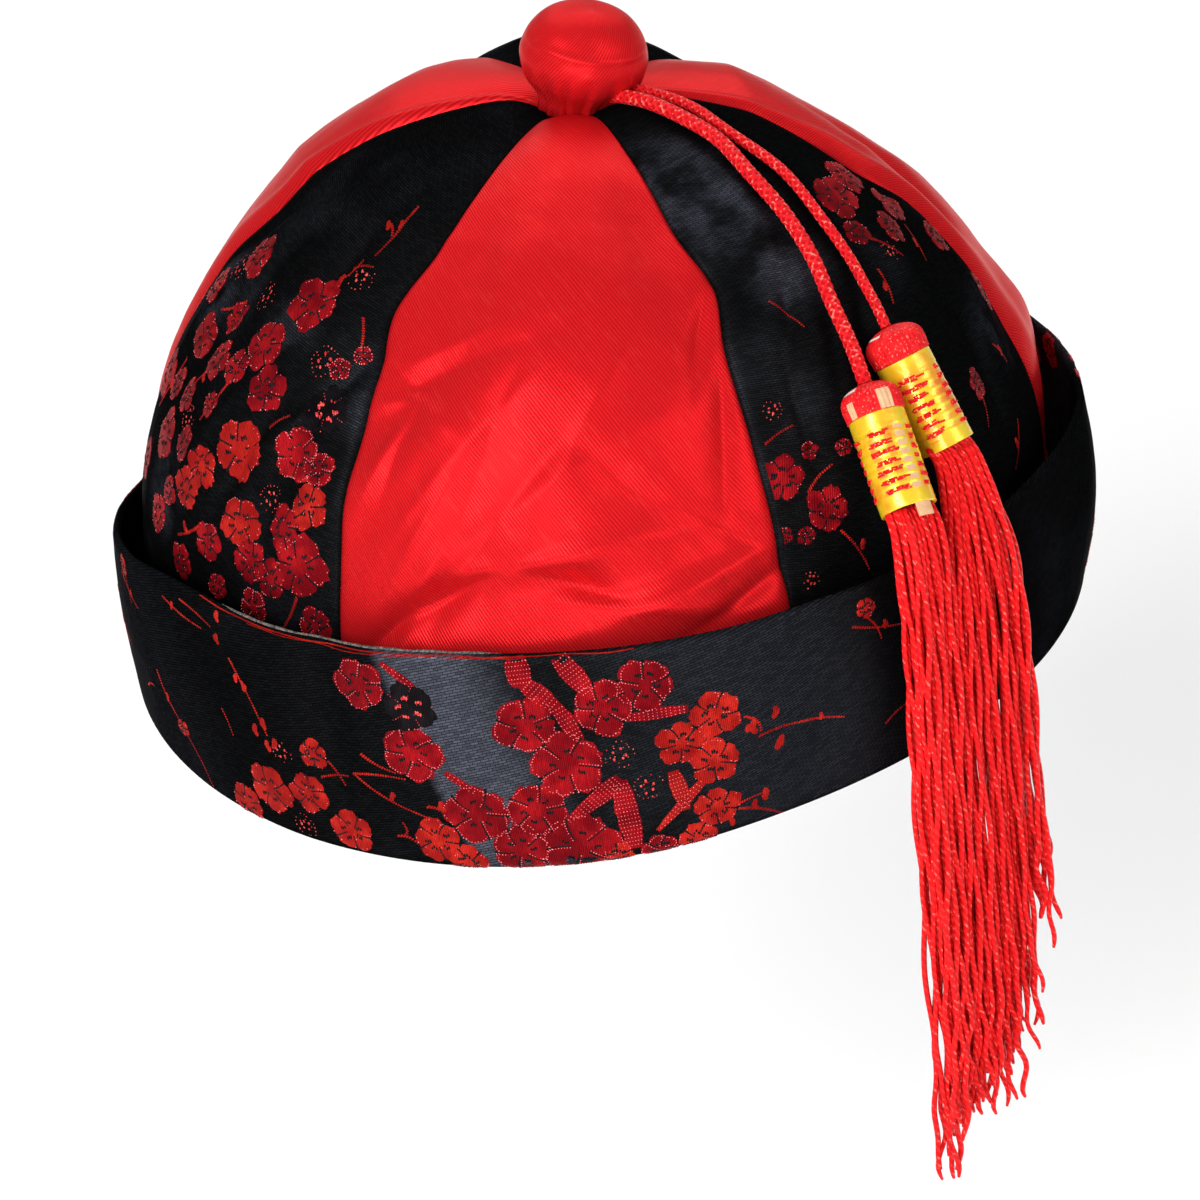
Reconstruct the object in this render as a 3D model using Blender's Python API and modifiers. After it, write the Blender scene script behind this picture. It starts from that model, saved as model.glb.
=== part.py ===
"""A mandarin hat: a six-gore crown in a turned-up cuff, a covered button, and two cords that end in tassels.

Metres, +Z up. The hat's axis is Z, its front faces -Y, and the origin is the middle of the head opening,
level with the cuff's fold. Angles are in degrees, counter-clockwise from +X as seen from above.
"""

import math

import bmesh
import bpy
import numpy as np
from mathutils import Matrix, Vector

WELD = 1e-5
GAP = 0.0003
NUDGE = 1e-4

# Crown: a superellipse dome on a short wall that widens to the hem
CROWN_RADIUS = 0.0885
CROWN_RISE = 0.0870
CROWN_ROUNDNESS = 2.1
WALL_TOP = 0.0250
DOME_SHARE = 0.86
HEM_RADIUS = 0.0921
CROWN_CLOTH = 0.0012
TIP_RADIUS = 0.0050
APEX_LEAN = 0.0050
PINCH_DEPTH = 0.0050
PINCH_RADIUS = 0.0085

# Gores: red ones round FRONT_ANGLE and every 120 degrees, brocade ones between them
FRONT_ANGLE = 263.3
GORES = (
    # name, steps of 60 degrees from the front
    ("gore_red_front", 0),
    ("gore_brocade_right", 1),
    ("gore_red_right", 2),
    ("gore_brocade_back", 3),
    ("gore_red_left", 4),
    ("gore_brocade_left", 5),
)
RED_HALF_WIDTH = 28.6
TOP_NARROWING = 2.4
SHOULDER_WIDENING = 2.4
SHOULDER_PLACE = 0.385
SHOULDER_SPREAD = 0.055
PUFF = 0.0042
SEAM_DIP = 0.0018
SEAM_GAP = 0.00045
GORE_COLUMNS = 10
GORE_ROWS = 15

# Main folds and dents of the crown
CREASES = (
    # angle, height, turn from level, half length, half width, depth (inwards is positive)
    (243.0, 0.080, 55.0, 0.016, 0.0055, 0.0016),
    (238.0, 0.068, 40.0, 0.020, 0.0060, -0.0016),
    (262.0, 0.049, 4.0, 0.024, 0.0055, 0.0020),
    (283.0, 0.044, -18.0, 0.016, 0.0060, -0.0018),
    (246.0, 0.098, 80.0, 0.016, 0.0070, 0.0018),
    (284.0, 0.100, 95.0, 0.018, 0.0070, 0.0016),
    (222.0, 0.060, 75.0, 0.020, 0.0070, 0.0018),
    (196.0, 0.078, 60.0, 0.018, 0.0080, 0.0022),
    (316.0, 0.062, 100.0, 0.022, 0.0080, 0.0020),
    (338.0, 0.074, 70.0, 0.018, 0.0070, 0.0018),
    (20.0, 0.060, 85.0, 0.022, 0.0080, 0.0020),
    (62.0, 0.070, 80.0, 0.022, 0.0080, 0.0022),
    (95.0, 0.055, 20.0, 0.022, 0.0070, 0.0018),
    (128.0, 0.078, 75.0, 0.020, 0.0080, 0.0020),
    (155.0, 0.058, 95.0, 0.022, 0.0080, 0.0020),
    (30.0, 0.094, 90.0, 0.036, 0.0300, 0.0052),
    (128.0, 0.106, 0.0, 0.034, 0.0160, -0.0022),
    (75.0, 0.107, 0.0, 0.034, 0.0140, -0.0026),
)

# Cuff: its rim and its fold all round
CUFF_CLOTH = 0.0016
CUFF_EDGES = (
    # angle, rim radius, rim height, fold height, belly
    (0.0, 0.0962, 0.0405, 0.0016, 0.0018),
    (18.0, 0.0970, 0.0385, 0.0008, 0.0014),
    (55.0, 0.0965, 0.0385, 0.0000, 0.0010),
    (100.0, 0.0955, 0.0385, 0.0000, 0.0010),
    (142.0, 0.0940, 0.0340, 0.0000, 0.0010),
    (163.0, 0.0918, 0.0315, 0.0000, 0.0010),
    (180.0, 0.0935, 0.0358, -0.0004, 0.0010),
    (197.0, 0.0955, 0.0412, -0.0010, 0.0008),
    (213.0, 0.0960, 0.0448, -0.0020, 0.0008),
    (230.0, 0.0958, 0.0428, -0.0032, 0.0010),
    (252.0, 0.0955, 0.0425, -0.0035, 0.0010),
    (270.0, 0.0955, 0.0420, -0.0022, 0.0010),
    (290.0, 0.0960, 0.0428, 0.0010, 0.0010),
    (308.0, 0.0962, 0.0432, 0.0027, 0.0012),
    (328.0, 0.0962, 0.0435, 0.0028, 0.0014),
    (345.0, 0.0962, 0.0428, 0.0026, 0.0020),
)
FOLD_RADIUS = 0.0020
FOLD_LIFT = 0.0008
INNER_HEM = 0.0090
HEM_LEAN = 0.0024
HEM_CLEARANCE = 0.0010
CUFF_COLUMNS = 66
CUFF_WALL_ROWS = 6
CUFF_FOLD_ROWS = 4

# Button: its turned profile from the top down, and its gathers
BUTTON_BASE = (0.0058, 0.0000, 0.1100)
BUTTON_TILT = 13.0
BUTTON_PROFILE = (
    # radius, height over the base
    (0.0000, 0.0186),
    (0.0042, 0.0182),
    (0.0081, 0.0164),
    (0.0109, 0.0132),
    (0.0122, 0.0094),
    (0.0119, 0.0064),
    (0.0102, 0.0039),
    (0.0080, 0.0021),
    (0.0061, 0.0008),
    (0.0050, 0.0000),
    (0.0000, 0.0000),
)
BUTTON_STEPS = 28
GATHERS = 14
GATHER_DEPTH = 0.0006
GATHER_TOP = 0.0075

# Cords: from under the button down the crown to the tassels' caps
CORD_NEAR_RADIUS = 0.00135
CORD_FAR_RADIUS = 0.00100
CORD_POINTS = 34
CORD_NEAR_ROUTE = (
    (0.0149, -0.0095, 0.1125),
    (0.0211, -0.0162, 0.1122),
    (0.0298, -0.0254, 0.1090),
    (0.0352, -0.0342, 0.1045),
    (0.0405, -0.0414, 0.0988),
    (0.0444, -0.0479, 0.0923),
    (0.0467, -0.0537, 0.0858),
    (0.0490, -0.0600, 0.0802),
    (0.0501, -0.0643, 0.0766),
    (0.0507, -0.0661, 0.0743),
)
CORD_FAR_ROUTE = (
    (0.0181, -0.0068, 0.1123),
    (0.0262, -0.0149, 0.1114),
    (0.0325, -0.0228, 0.1086),
    (0.0414, -0.0313, 0.1030),
    (0.0475, -0.0398, 0.0958),
    (0.0514, -0.0448, 0.0898),
    (0.0534, -0.0490, 0.0860),
    (0.0550, -0.0530, 0.0830),
    (0.0561, -0.0557, 0.0801),
)

# Tassels: heads along straight axes, then locks that fall outside the cuff
TASSEL_AXES = (
    # name, top of the cap, foot of the band
    ("near", (0.0508, -0.0665, 0.0737), (0.0552, -0.0800, 0.0563)),
    ("far", (0.0563, -0.0563, 0.0797), (0.0650, -0.0663, 0.0585)),
)
CAP_RADIUS = 0.0056
CAP_LENGTH = 0.0055
BAND_RADIUS = 0.0053
BAND_LENGTH = 0.0180
BAND_WALL = 0.0007
CORE_RADIUS = BAND_RADIUS - BAND_WALL - GAP
CORE_OVERHANG = 0.0030
HEAD_STEPS = 14
HANG_ANGLE = 311.0
INNER_ROW = 0.1006
OUTER_ROW = 0.1036
LOCK_RADIUS = 0.0027
LOCK_TIP_RADIUS = 0.0007
LOCK_SIDES = 6
LOCK_RINGS = 12
LOCK_CROWDING = 1.6
LOCKS = (
    # tassel, shift to the side, distance from the hat's axis, tip height
    ("near", -0.0197, INNER_ROW, -0.0835),
    ("near", -0.0159, INNER_ROW, -0.0745),
    ("near", -0.0121, INNER_ROW, -0.0715),
    ("near", -0.0083, INNER_ROW, -0.0700),
    ("near", -0.0178, OUTER_ROW, -0.0700),
    ("near", -0.0140, OUTER_ROW, -0.0650),
    ("near", -0.0102, OUTER_ROW, -0.0740),
    ("far", -0.0015, INNER_ROW, -0.0735),
    ("far", 0.0026, INNER_ROW, -0.0675),
    ("far", 0.0067, INNER_ROW, -0.0490),
    ("far", 0.0108, INNER_ROW, -0.0400),
    ("far", 0.0005, OUTER_ROW, -0.0600),
    ("far", 0.0046, OUTER_ROW, -0.0550),
    ("far", 0.0087, OUTER_ROW, -0.0440),
)
LOCK_START = 0.0010
LOCK_LEAVE = 0.0050
LOCK_FANNING = 1.5
ROOT_SPREAD = 0.22
DROP_START = 0.0440

# Finishes: base colour, roughness, metallic
FINISHES = {
    "red_satin": ((0.80, 0.012, 0.018), 0.38, 0.0),
    "black_brocade": ((0.010, 0.010, 0.012), 0.42, 0.0),
    "red_cord": ((0.68, 0.010, 0.020), 0.60, 0.0),
    "gold_foil": ((0.88, 0.62, 0.12), 0.30, 1.0),
    "red_thread": ((0.78, 0.012, 0.016), 0.45, 0.0),
}


def clear_scene():
    for old in list(bpy.data.objects):
        bpy.data.objects.remove(old)


def new_collection(name):
    collection = bpy.data.collections.new(name)
    bpy.context.scene.collection.children.link(collection)
    return collection


def finish(name):
    """The Principled material of this name, made on first use."""
    if name in bpy.data.materials:
        return bpy.data.materials[name]
    colour, roughness, metallic = FINISHES[name]
    material = bpy.data.materials.new(name)
    material.use_nodes = True
    shader = material.node_tree.nodes["Principled BSDF"]
    shader.inputs["Base Color"].default_value = (*colour, 1.0)
    shader.inputs["Roughness"].default_value = roughness
    shader.inputs["Metallic"].default_value = metallic
    return material


def add_object(name, mesh, collection, material):
    """A smooth-shaded object of this mesh in the collection."""
    piece = bpy.data.objects.new(name, mesh)
    collection.objects.link(piece)
    mesh.materials.append(finish(material))
    mesh.shade_smooth()
    return piece


def bake(piece):
    """Applies the modifiers of this object, or turns this curve into a mesh with its caps welded."""
    graph = bpy.context.evaluated_depsgraph_get()
    graph.update()
    mesh = bpy.data.meshes.new_from_object(piece.evaluated_get(graph))
    body = bmesh.new()
    body.from_mesh(mesh)
    bmesh.ops.remove_doubles(body, verts=body.verts, dist=WELD)
    body.to_mesh(mesh)
    body.free()
    return mesh


def from_table(angle, rows, column):
    """A column of a table keyed by angle, read all round as a smooth closed curve through its rows."""
    keys = np.array([row[0] for row in rows])
    values = np.array([row[column] for row in rows])
    angle = np.mod(angle, 360.0)
    before = np.searchsorted(keys, angle, side="right") - 1
    count = len(keys)
    p0, p1, p2, p3 = (values[(before + step) % count] for step in (-1, 0, 1, 2))
    start = keys[before % count]
    stretch = np.mod(keys[(before + 1) % count] - start, 360.0)
    s = np.mod(angle - start, 360.0) / stretch
    slope_in = (p2 - p0) / 2
    slope_out = (p3 - p1) / 2
    return (
        p1
        + slope_in * s
        + (3 * (p2 - p1) - 2 * slope_in - slope_out) * s**2
        + (2 * (p1 - p2) + slope_in + slope_out) * s**3
    )


def smooth_route(points, count, crowding=1.0):
    """Points on a smooth curve through the given ones, evenly spaced or crowded towards its start."""
    points = [Vector(point) for point in points]
    padded = [2 * points[0] - points[1], *points, 2 * points[-1] - points[-2]]
    fine = []
    steps = 24
    for p0, p1, p2, p3 in zip(padded, padded[1:], padded[2:], padded[3:]):
        for step in range(steps):
            s = step / steps
            bend = (2 * p0 - 5 * p1 + 4 * p2 - p3) * s**2 + (3 * p1 - p0 - 3 * p2 + p3) * s**3
            fine.append((2 * p1 + (p2 - p0) * s + bend) / 2)
    fine.append(points[-1])
    fine = np.array(fine)
    run = np.concatenate([[0.0], np.cumsum(np.linalg.norm(np.diff(fine, axis=0), axis=1))])
    at = run[-1] * np.linspace(0.0, 1.0, count) ** crowding
    return np.stack([np.interp(at, run, fine[:, axis]) for axis in range(3)], axis=1)


def grid_sheet(name, columns, rows, place):
    """An open sheet of columns by rows faces, whose corners lie at place(across, up), both from 0 to 1."""
    sheet = bmesh.new()
    bmesh.ops.create_grid(sheet, x_segments=columns, y_segments=rows, size=0.5)
    for vertex in sheet.verts:
        vertex.co = place(vertex.co.x + 0.5, vertex.co.y + 0.5)
    bmesh.ops.remove_doubles(sheet, verts=sheet.verts, dist=WELD)
    mesh = bpy.data.meshes.new(name)
    sheet.to_mesh(mesh)
    sheet.free()
    return mesh


def thicken(piece, thickness, offset):
    solidify = piece.modifiers.new("cloth", "SOLIDIFY")
    solidify.thickness = thickness
    solidify.offset = offset
    solidify.use_even_offset = True


def crown_profile(t, angle):
    """Radius and height of the plain crown, with t from 0 at the apex to 1 at the hem."""
    turn = np.clip(t / DOME_SHARE, 0.0, 1.0) * math.pi / 2
    down = np.clip((t - DOME_SHARE) / (1 - DOME_SHARE), 0.0, 1.0)
    power = 2 / CROWN_ROUNDNESS
    hem = from_table(angle, CUFF_EDGES, 3) + FOLD_LIFT + CUFF_CLOTH / 2 + HEM_CLEARANCE
    radius = CROWN_RADIUS * np.sin(turn) ** power + (HEM_RADIUS - CROWN_RADIUS) * down
    height = WALL_TOP + CROWN_RISE * np.cos(turn).clip(0.0) ** power
    height = height + (hem - WALL_TOP) * down
    height = height - PINCH_DEPTH * np.exp(-((radius / PINCH_RADIUS) ** 2))
    return radius, height


def crown_place(radius, height, angle):
    """The point at this radius, height and angle on the crown, whose top leans to the right."""
    lean = APEX_LEAN * ((height - WALL_TOP) / CROWN_RISE).clip(0.0) ** 3
    turn = np.radians(angle)
    return np.stack([radius * np.cos(turn) + lean, radius * np.sin(turn), height], axis=-1)


def gore_swell(t, across):
    """How far a gore stands out between its seams, and in along them."""
    share = np.sin(np.pi * np.clip(t, 0.0, 1.0) ** 0.9)
    return (PUFF * np.sin(np.pi * across) - SEAM_DIP) * share


def crease_depth(points):
    """How far the folds and dents press the crown inwards at these points."""
    depth = np.zeros(len(points))
    for angle, height, turn, half_length, half_width, press in CREASES:
        t = DOME_SHARE * math.acos(((height - WALL_TOP) / CROWN_RISE) ** (CROWN_ROUNDNESS / 2)) * 2 / math.pi
        middle = crown_place(*crown_profile(np.array([t]), np.array([angle])), angle)[0]
        level = np.array([-math.sin(math.radians(angle)), math.cos(math.radians(angle)), 0.0])
        out = middle / np.linalg.norm(middle)
        steep = np.cross(out, level)
        along = math.cos(math.radians(turn)) * level + math.sin(math.radians(turn)) * steep
        aside = np.cross(out, along)
        offset = points - middle
        spread = (offset @ along / half_length) ** 2 + (offset @ aside / half_width) ** 2
        depth += press * np.exp(-spread) * (points @ out > 0.0)
    return depth


def red_half_width(t):
    """Half the angle that a red gore spans: it is narrow at the top and widens at its shoulders."""
    narrowing = TOP_NARROWING * np.clip(1 - t / SHOULDER_PLACE, 0.0, 1.0)
    widening = SHOULDER_WIDENING * np.exp(-(((t - SHOULDER_PLACE) / SHOULDER_SPREAD) ** 2))
    return RED_HALF_WIDTH - narrowing + widening


def gore_angle(step, t, across):
    """The angle at a share across the gore that lies this many steps from the front one."""
    middle = FRONT_ANGLE + 60.0 * step
    half = red_half_width(t) if step % 2 == 0 else 60.0 - red_half_width(t)
    radius = crown_profile(t, middle)[0]
    inset = np.degrees(SEAM_GAP / 2 / radius)
    return middle + (2 * across - 1) * (half - inset)


def crown_points(step, t, across):
    """Points on the outside of a gore."""
    t = np.atleast_1d(np.asarray(t, float))
    across = np.atleast_1d(np.asarray(across, float))
    angle = gore_angle(step, t, across)
    plain = crown_place(*crown_profile(t, angle), angle)
    higher = crown_place(*crown_profile(t - NUDGE, angle), angle)
    level = np.stack([-np.sin(np.radians(angle)), np.cos(np.radians(angle)), 0.0 * angle], axis=-1)
    out = np.cross(plain - higher, level)
    out = out / np.linalg.norm(out, axis=1)[:, None]
    lift = gore_swell(t, across) - crease_depth(plain)
    return plain + out * lift[:, None]


def tip_share():
    """The share of the crown's profile at which the gores' tips end."""
    return DOME_SHARE * math.asin((TIP_RADIUS / CROWN_RADIUS) ** (CROWN_ROUNDNESS / 2)) * 2 / math.pi


def make_gore(name, step, collection):
    top = tip_share()

    def place(across, up):
        return crown_points(step, 1 - up * (1 - top), across)[0]

    mesh = grid_sheet(name, GORE_COLUMNS, GORE_ROWS, place)
    piece = add_object(name, mesh, collection, "red_satin" if step % 2 == 0 else "black_brocade")
    thicken(piece, CROWN_CLOTH, -1.0)


def cuff_section(angle):
    """The middle of the cuff's cloth at this angle, as radius and height, from inside the fold out to the rim."""
    rim_radius = from_table(angle, CUFF_EDGES, 1) - CUFF_CLOTH / 2
    rim_height = from_table(angle, CUFF_EDGES, 2)
    fold = from_table(angle, CUFF_EDGES, 3) + FOLD_LIFT
    middle = HEM_RADIUS - CROWN_CLOTH / 2
    line = [(middle - FOLD_RADIUS - HEM_LEAN, fold + INNER_HEM)]
    for row in range(CUFF_FOLD_ROWS + 1):
        turn = math.pi * (1 + row / CUFF_FOLD_ROWS)
        line.append((middle + FOLD_RADIUS * math.cos(turn), fold + FOLD_RADIUS * (1 + math.sin(turn))))
    belly = from_table(angle, CUFF_EDGES, 4)
    foot_radius, foot_height = line[-1]
    for row in range(1, CUFF_WALL_ROWS + 1):
        up = row / CUFF_WALL_ROWS
        line.append(
            (
                foot_radius + (rim_radius - foot_radius) * up + belly * math.sin(math.pi * up),
                foot_height + (rim_height - foot_height) * up,
            )
        )
    return line


def make_cuff(collection):
    rows = CUFF_FOLD_ROWS + CUFF_WALL_ROWS + 1

    def place(across, up):
        angle = 360.0 * across
        radius, height = cuff_section(angle)[round(up * rows)]
        turn = math.radians(angle)
        return (radius * math.cos(turn), radius * math.sin(turn), height)

    mesh = grid_sheet("cuff", CUFF_COLUMNS, rows, place)
    piece = add_object("cuff", mesh, collection, "black_brocade")
    thicken(piece, CUFF_CLOTH, 0.0)


def turned(name, profile, steps, collection, material, closed=False):
    """A turned solid about Z, from a profile at +X that runs down its outer side."""
    mesh = bpy.data.meshes.new(name)
    ends = [(index, index + 1) for index in range(len(profile) - 1)]
    if closed:
        ends.append((len(profile) - 1, 0))
    mesh.from_pydata([(radius, 0.0, height) for radius, height in profile], ends, [])
    piece = add_object(name, mesh, collection, material)
    screw = piece.modifiers.new("turn", "SCREW")
    screw.steps = steps
    screw.render_steps = steps
    screw.use_merge_vertices = True
    screw.merge_threshold = WELD
    return piece


def make_button(collection):
    piece = turned("button", BUTTON_PROFILE, BUTTON_STEPS, collection, "red_satin")
    gathered = bake(piece)
    for vertex in gathered.vertices:
        radius = math.hypot(vertex.co.x, vertex.co.y)
        share = max(0.0, 1 - vertex.co.z / GATHER_TOP) * min(1.0, radius / BUTTON_PROFILE[-2][0])
        fold = 1 + GATHER_DEPTH * share * math.cos(GATHERS * math.atan2(vertex.co.y, vertex.co.x)) / CAP_RADIUS
        vertex.co.x *= fold
        vertex.co.y *= fold
    gathered.shade_smooth()
    piece.modifiers.clear()
    piece.data = gathered
    piece.location = BUTTON_BASE
    piece.rotation_euler = (0.0, math.radians(BUTTON_TILT), 0.0)


def make_cord(name, route, radius, collection):
    curve = bpy.data.curves.new(name, "CURVE")
    curve.dimensions = "3D"
    curve.bevel_depth = radius
    curve.bevel_resolution = 2
    curve.use_fill_caps = True
    spline = curve.splines.new("POLY")
    points = smooth_route(route, CORD_POINTS)
    spline.points.add(len(points) - 1)
    for point, co in zip(spline.points, points):
        point.co = (*co, 1.0)
    curve.materials.append(finish("red_cord"))
    piece = bpy.data.objects.new(name, curve)
    collection.objects.link(piece)


def head_frame(top, foot):
    """Places a tassel's head: its own Z runs up the axis, and its origin is the cap's top."""
    top = Vector(top)
    axis = (top - Vector(foot)).normalized()
    return Matrix.Translation(top) @ axis.to_track_quat("Z", "Y").to_matrix().to_4x4()


def make_cap(name, frame, collection):
    shoulder = CAP_LENGTH * 0.45
    profile = (
        (0.0, 0.0),
        (CAP_RADIUS * 0.55, -CAP_LENGTH * 0.06),
        (CAP_RADIUS * 0.88, -CAP_LENGTH * 0.22),
        (CAP_RADIUS, -shoulder),
        (CAP_RADIUS * 0.97, -CAP_LENGTH),
        (0.0, -CAP_LENGTH),
    )
    piece = turned(name, profile, HEAD_STEPS, collection, "red_thread")
    piece.matrix_world = frame


def make_band(name, frame, collection):
    top = -CAP_LENGTH - GAP
    foot = top - BAND_LENGTH
    profile = (
        (BAND_RADIUS - BAND_WALL, top),
        (BAND_RADIUS, top),
        (BAND_RADIUS, foot),
        (BAND_RADIUS - BAND_WALL, foot),
    )
    piece = turned(name, profile, HEAD_STEPS, collection, "gold_foil", closed=True)
    piece.matrix_world = frame


def lock_route(frame, aside, outward, side, distance, tip):
    """The middle of a lock: out of the head, over the rim, and straight down to its tip."""
    foot = -CAP_LENGTH - GAP - BAND_LENGTH
    out = Vector((math.cos(math.radians(HANG_ANGLE)), math.sin(math.radians(HANG_ANGLE)), 0.0))
    across = Vector((-out.y, out.x, 0.0))
    root = ROOT_SPREAD * (across * aside + out * outward)
    start = frame @ Vector((0.0, 0.0, foot - LOCK_START)) + root
    leave = frame @ Vector((0.0, 0.0, foot - LOCK_LEAVE)) + root * LOCK_FANNING
    hang = out * distance + across * side
    over = hang + Vector((0.0, 0.0, DROP_START))
    middle = hang + Vector((0.0, 0.0, (DROP_START + tip) / 2))
    return (start, leave, over, middle, hang + Vector((0.0, 0.0, tip)))


def make_lock(route):
    """A tapering closed tube along the route, as a mesh of its own."""
    points = smooth_route(route, LOCK_RINGS, LOCK_CROWDING)
    curve = bpy.data.curves.new("lock", "CURVE")
    curve.dimensions = "3D"
    curve.bevel_depth = 1.0
    curve.bevel_resolution = LOCK_SIDES // 2 - 2
    curve.use_fill_caps = True
    spline = curve.splines.new("POLY")
    spline.points.add(len(points) - 1)
    for index, (point, co) in enumerate(zip(spline.points, points)):
        run = index / (len(points) - 1)
        point.co = (*co, 1.0)
        point.radius = LOCK_RADIUS + (LOCK_TIP_RADIUS - LOCK_RADIUS) * run**2
    guide = bpy.data.objects.new("lock", curve)
    bpy.context.scene.collection.objects.link(guide)
    mesh = bake(guide)
    bpy.data.objects.remove(guide)
    return mesh


def make_fringe(name, tassel, frame, collection, cutters):
    """A fringe's core, which fills the band, with its locks fused to it."""
    top = -CAP_LENGTH - GAP
    foot = top - BAND_LENGTH - CORE_OVERHANG
    profile = ((0.0, top), (CORE_RADIUS, top), (CORE_RADIUS, foot), (0.0, foot))
    piece = turned(name, profile, HEAD_STEPS, collection, "red_thread")
    piece.matrix_world = frame
    rows = [row for row in LOCKS if row[0] == tassel]
    middle_side = sum(row[1] for row in rows) / len(rows)
    middle_distance = sum(row[2] for row in rows) / len(rows)
    for index, (_, side, distance, tip) in enumerate(rows):
        route = lock_route(frame, side - middle_side, distance - middle_distance, side, distance, tip)
        mesh = make_lock(route)
        lock = bpy.data.objects.new(f"{name}_lock_{index + 1}", mesh)
        cutters.objects.link(lock)
        lock.hide_render = True
        lock.display_type = "WIRE"
        union = piece.modifiers.new(f"lock_{index + 1}", "BOOLEAN")
        union.operation = "UNION"
        union.solver = "MANIFOLD"
        union.object = lock


def main():
    clear_scene()
    hat = new_collection("mandarin_hat")
    cutters = new_collection("cutters")
    cutters.hide_render = True
    for name, step in GORES:
        make_gore(name, step, hat)
    make_cuff(hat)
    make_button(hat)
    make_cord("cord_near", CORD_NEAR_ROUTE, CORD_NEAR_RADIUS, hat)
    make_cord("cord_far", CORD_FAR_ROUTE, CORD_FAR_RADIUS, hat)
    for tassel, top, foot in TASSEL_AXES:
        frame = head_frame(top, foot)
        make_cap(f"cap_{tassel}", frame, hat)
        make_band(f"band_{tassel}", frame, hat)
        make_fringe(f"fringe_{tassel}", tassel, frame, hat, cutters)


main()
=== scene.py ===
"""The looks of a mandarin hat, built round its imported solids.

Metres, +Z up. The hat's axis is Z, its front faces -Y, and the origin is the middle of the head opening,
level with the cuff's fold. Angles are in degrees, counter-clockwise from +X as seen from above.
"""

import math
import random

import bmesh
import bpy
import numpy as np
from mathutils import Matrix, Vector, noise
from mathutils.bvhtree import BVHTree


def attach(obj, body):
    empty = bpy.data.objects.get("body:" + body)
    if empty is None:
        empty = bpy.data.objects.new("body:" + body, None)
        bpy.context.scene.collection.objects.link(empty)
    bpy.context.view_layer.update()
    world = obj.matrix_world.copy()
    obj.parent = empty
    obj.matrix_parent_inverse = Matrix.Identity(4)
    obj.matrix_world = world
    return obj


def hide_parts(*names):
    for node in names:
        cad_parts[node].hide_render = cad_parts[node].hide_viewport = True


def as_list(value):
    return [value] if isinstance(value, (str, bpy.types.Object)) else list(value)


MM = 0.001
GAP = 0.0003
NUDGE = 1e-4
ROUTE_STEPS = 24
ROUTE_POINTS = 40
TUBE_START = (0.31, 0.77, 0.55)

# Camera, as it was fitted to the photograph
VIEW_ELEVATION = 25.0
VIEW_ROLL = 7.0
VIEW_DISTANCE = 1.0
VIEW_TARGET = (0.0, 0.0, 0.050)
VIEW_LENS = 154.2
SENSOR = 36.0
IMAGE_SIZE = 1200
TARGET_PIXEL = (583, 385)
CLIP_START = 0.01
FLOOR_HEIGHT = -0.160

# Crown: a superellipse dome on a short wall that widens to the hem
CROWN_RADIUS = 0.0885
CROWN_RISE = 0.0870
CROWN_ROUNDNESS = 2.1
WALL_TOP = 0.0250
DOME_SHARE = 0.86
HEM_RADIUS = 0.0921
CROWN_CLOTH = 0.0012
TIP_RADIUS = 0.0050
APEX_LEAN = 0.0050
PINCH_DEPTH = 0.0050
PINCH_RADIUS = 0.0085

# Gores: red ones round FRONT_ANGLE and every 120 degrees, brocade ones between them
FRONT_ANGLE = 263.3
GORE_STEP = 60.0
GORES = (
    # name, steps of 60 degrees from the front
    ("gore_red_front", 0),
    ("gore_brocade_right", 1),
    ("gore_red_right", 2),
    ("gore_brocade_back", 3),
    ("gore_red_left", 4),
    ("gore_brocade_left", 5),
)
RED_HALF_WIDTH = 28.6
TOP_NARROWING = 2.4
SHOULDER_WIDENING = 2.4
SHOULDER_PLACE = 0.385
SHOULDER_SPREAD = 0.055
PUFF = 0.0042
PUFF_PLACE = 0.9
SEAM_DIP = 0.0018
SEAM_LAP = 0.00024
SEAM_ROLL = 0.0007
SEAM_ROLL_WIDTH = 0.030
EDGE_RIDGE = 0.0009
EDGE_RIDGE_PLACE = 0.070
EDGE_RIDGE_WIDTH = 0.045
RIDGE_FADE = 0.3
RIDGE_RISE = 0.2
RIDGED_EDGES = {2: 0.0, 4: 1.0}
GORE_COLUMNS = 76
GORE_ROWS = 110
COLUMN_CROWDING = 0.007
FRONT_COLUMNS = 124
FRONT_ROWS = 176

# Main folds and dents of the crown, as in the solids
CREASES = (
    # angle, height, turn from level, half length, half width, depth (inwards is positive)
    (243.0, 0.080, 55.0, 0.016, 0.0055, 0.0016),
    (238.0, 0.068, 40.0, 0.020, 0.0060, -0.0016),
    (262.0, 0.049, 4.0, 0.024, 0.0055, 0.0020),
    (283.0, 0.044, -18.0, 0.016, 0.0060, -0.0018),
    (246.0, 0.098, 80.0, 0.016, 0.0070, 0.0018),
    (284.0, 0.100, 95.0, 0.018, 0.0070, 0.0016),
    (222.0, 0.060, 75.0, 0.020, 0.0070, 0.0018),
    (196.0, 0.078, 60.0, 0.018, 0.0080, 0.0022),
    (316.0, 0.062, 100.0, 0.022, 0.0080, 0.0020),
    (338.0, 0.074, 70.0, 0.018, 0.0070, 0.0018),
    (20.0, 0.060, 85.0, 0.022, 0.0080, 0.0020),
    (62.0, 0.070, 80.0, 0.022, 0.0080, 0.0022),
    (95.0, 0.055, 20.0, 0.022, 0.0070, 0.0018),
    (128.0, 0.078, 75.0, 0.020, 0.0080, 0.0020),
    (155.0, 0.058, 95.0, 0.022, 0.0080, 0.0020),
    (30.0, 0.094, 90.0, 0.036, 0.0300, 0.0052),
    (128.0, 0.106, 0.0, 0.034, 0.0160, -0.0022),
    (75.0, 0.107, 0.0, 0.034, 0.0140, -0.0026),
)
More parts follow.
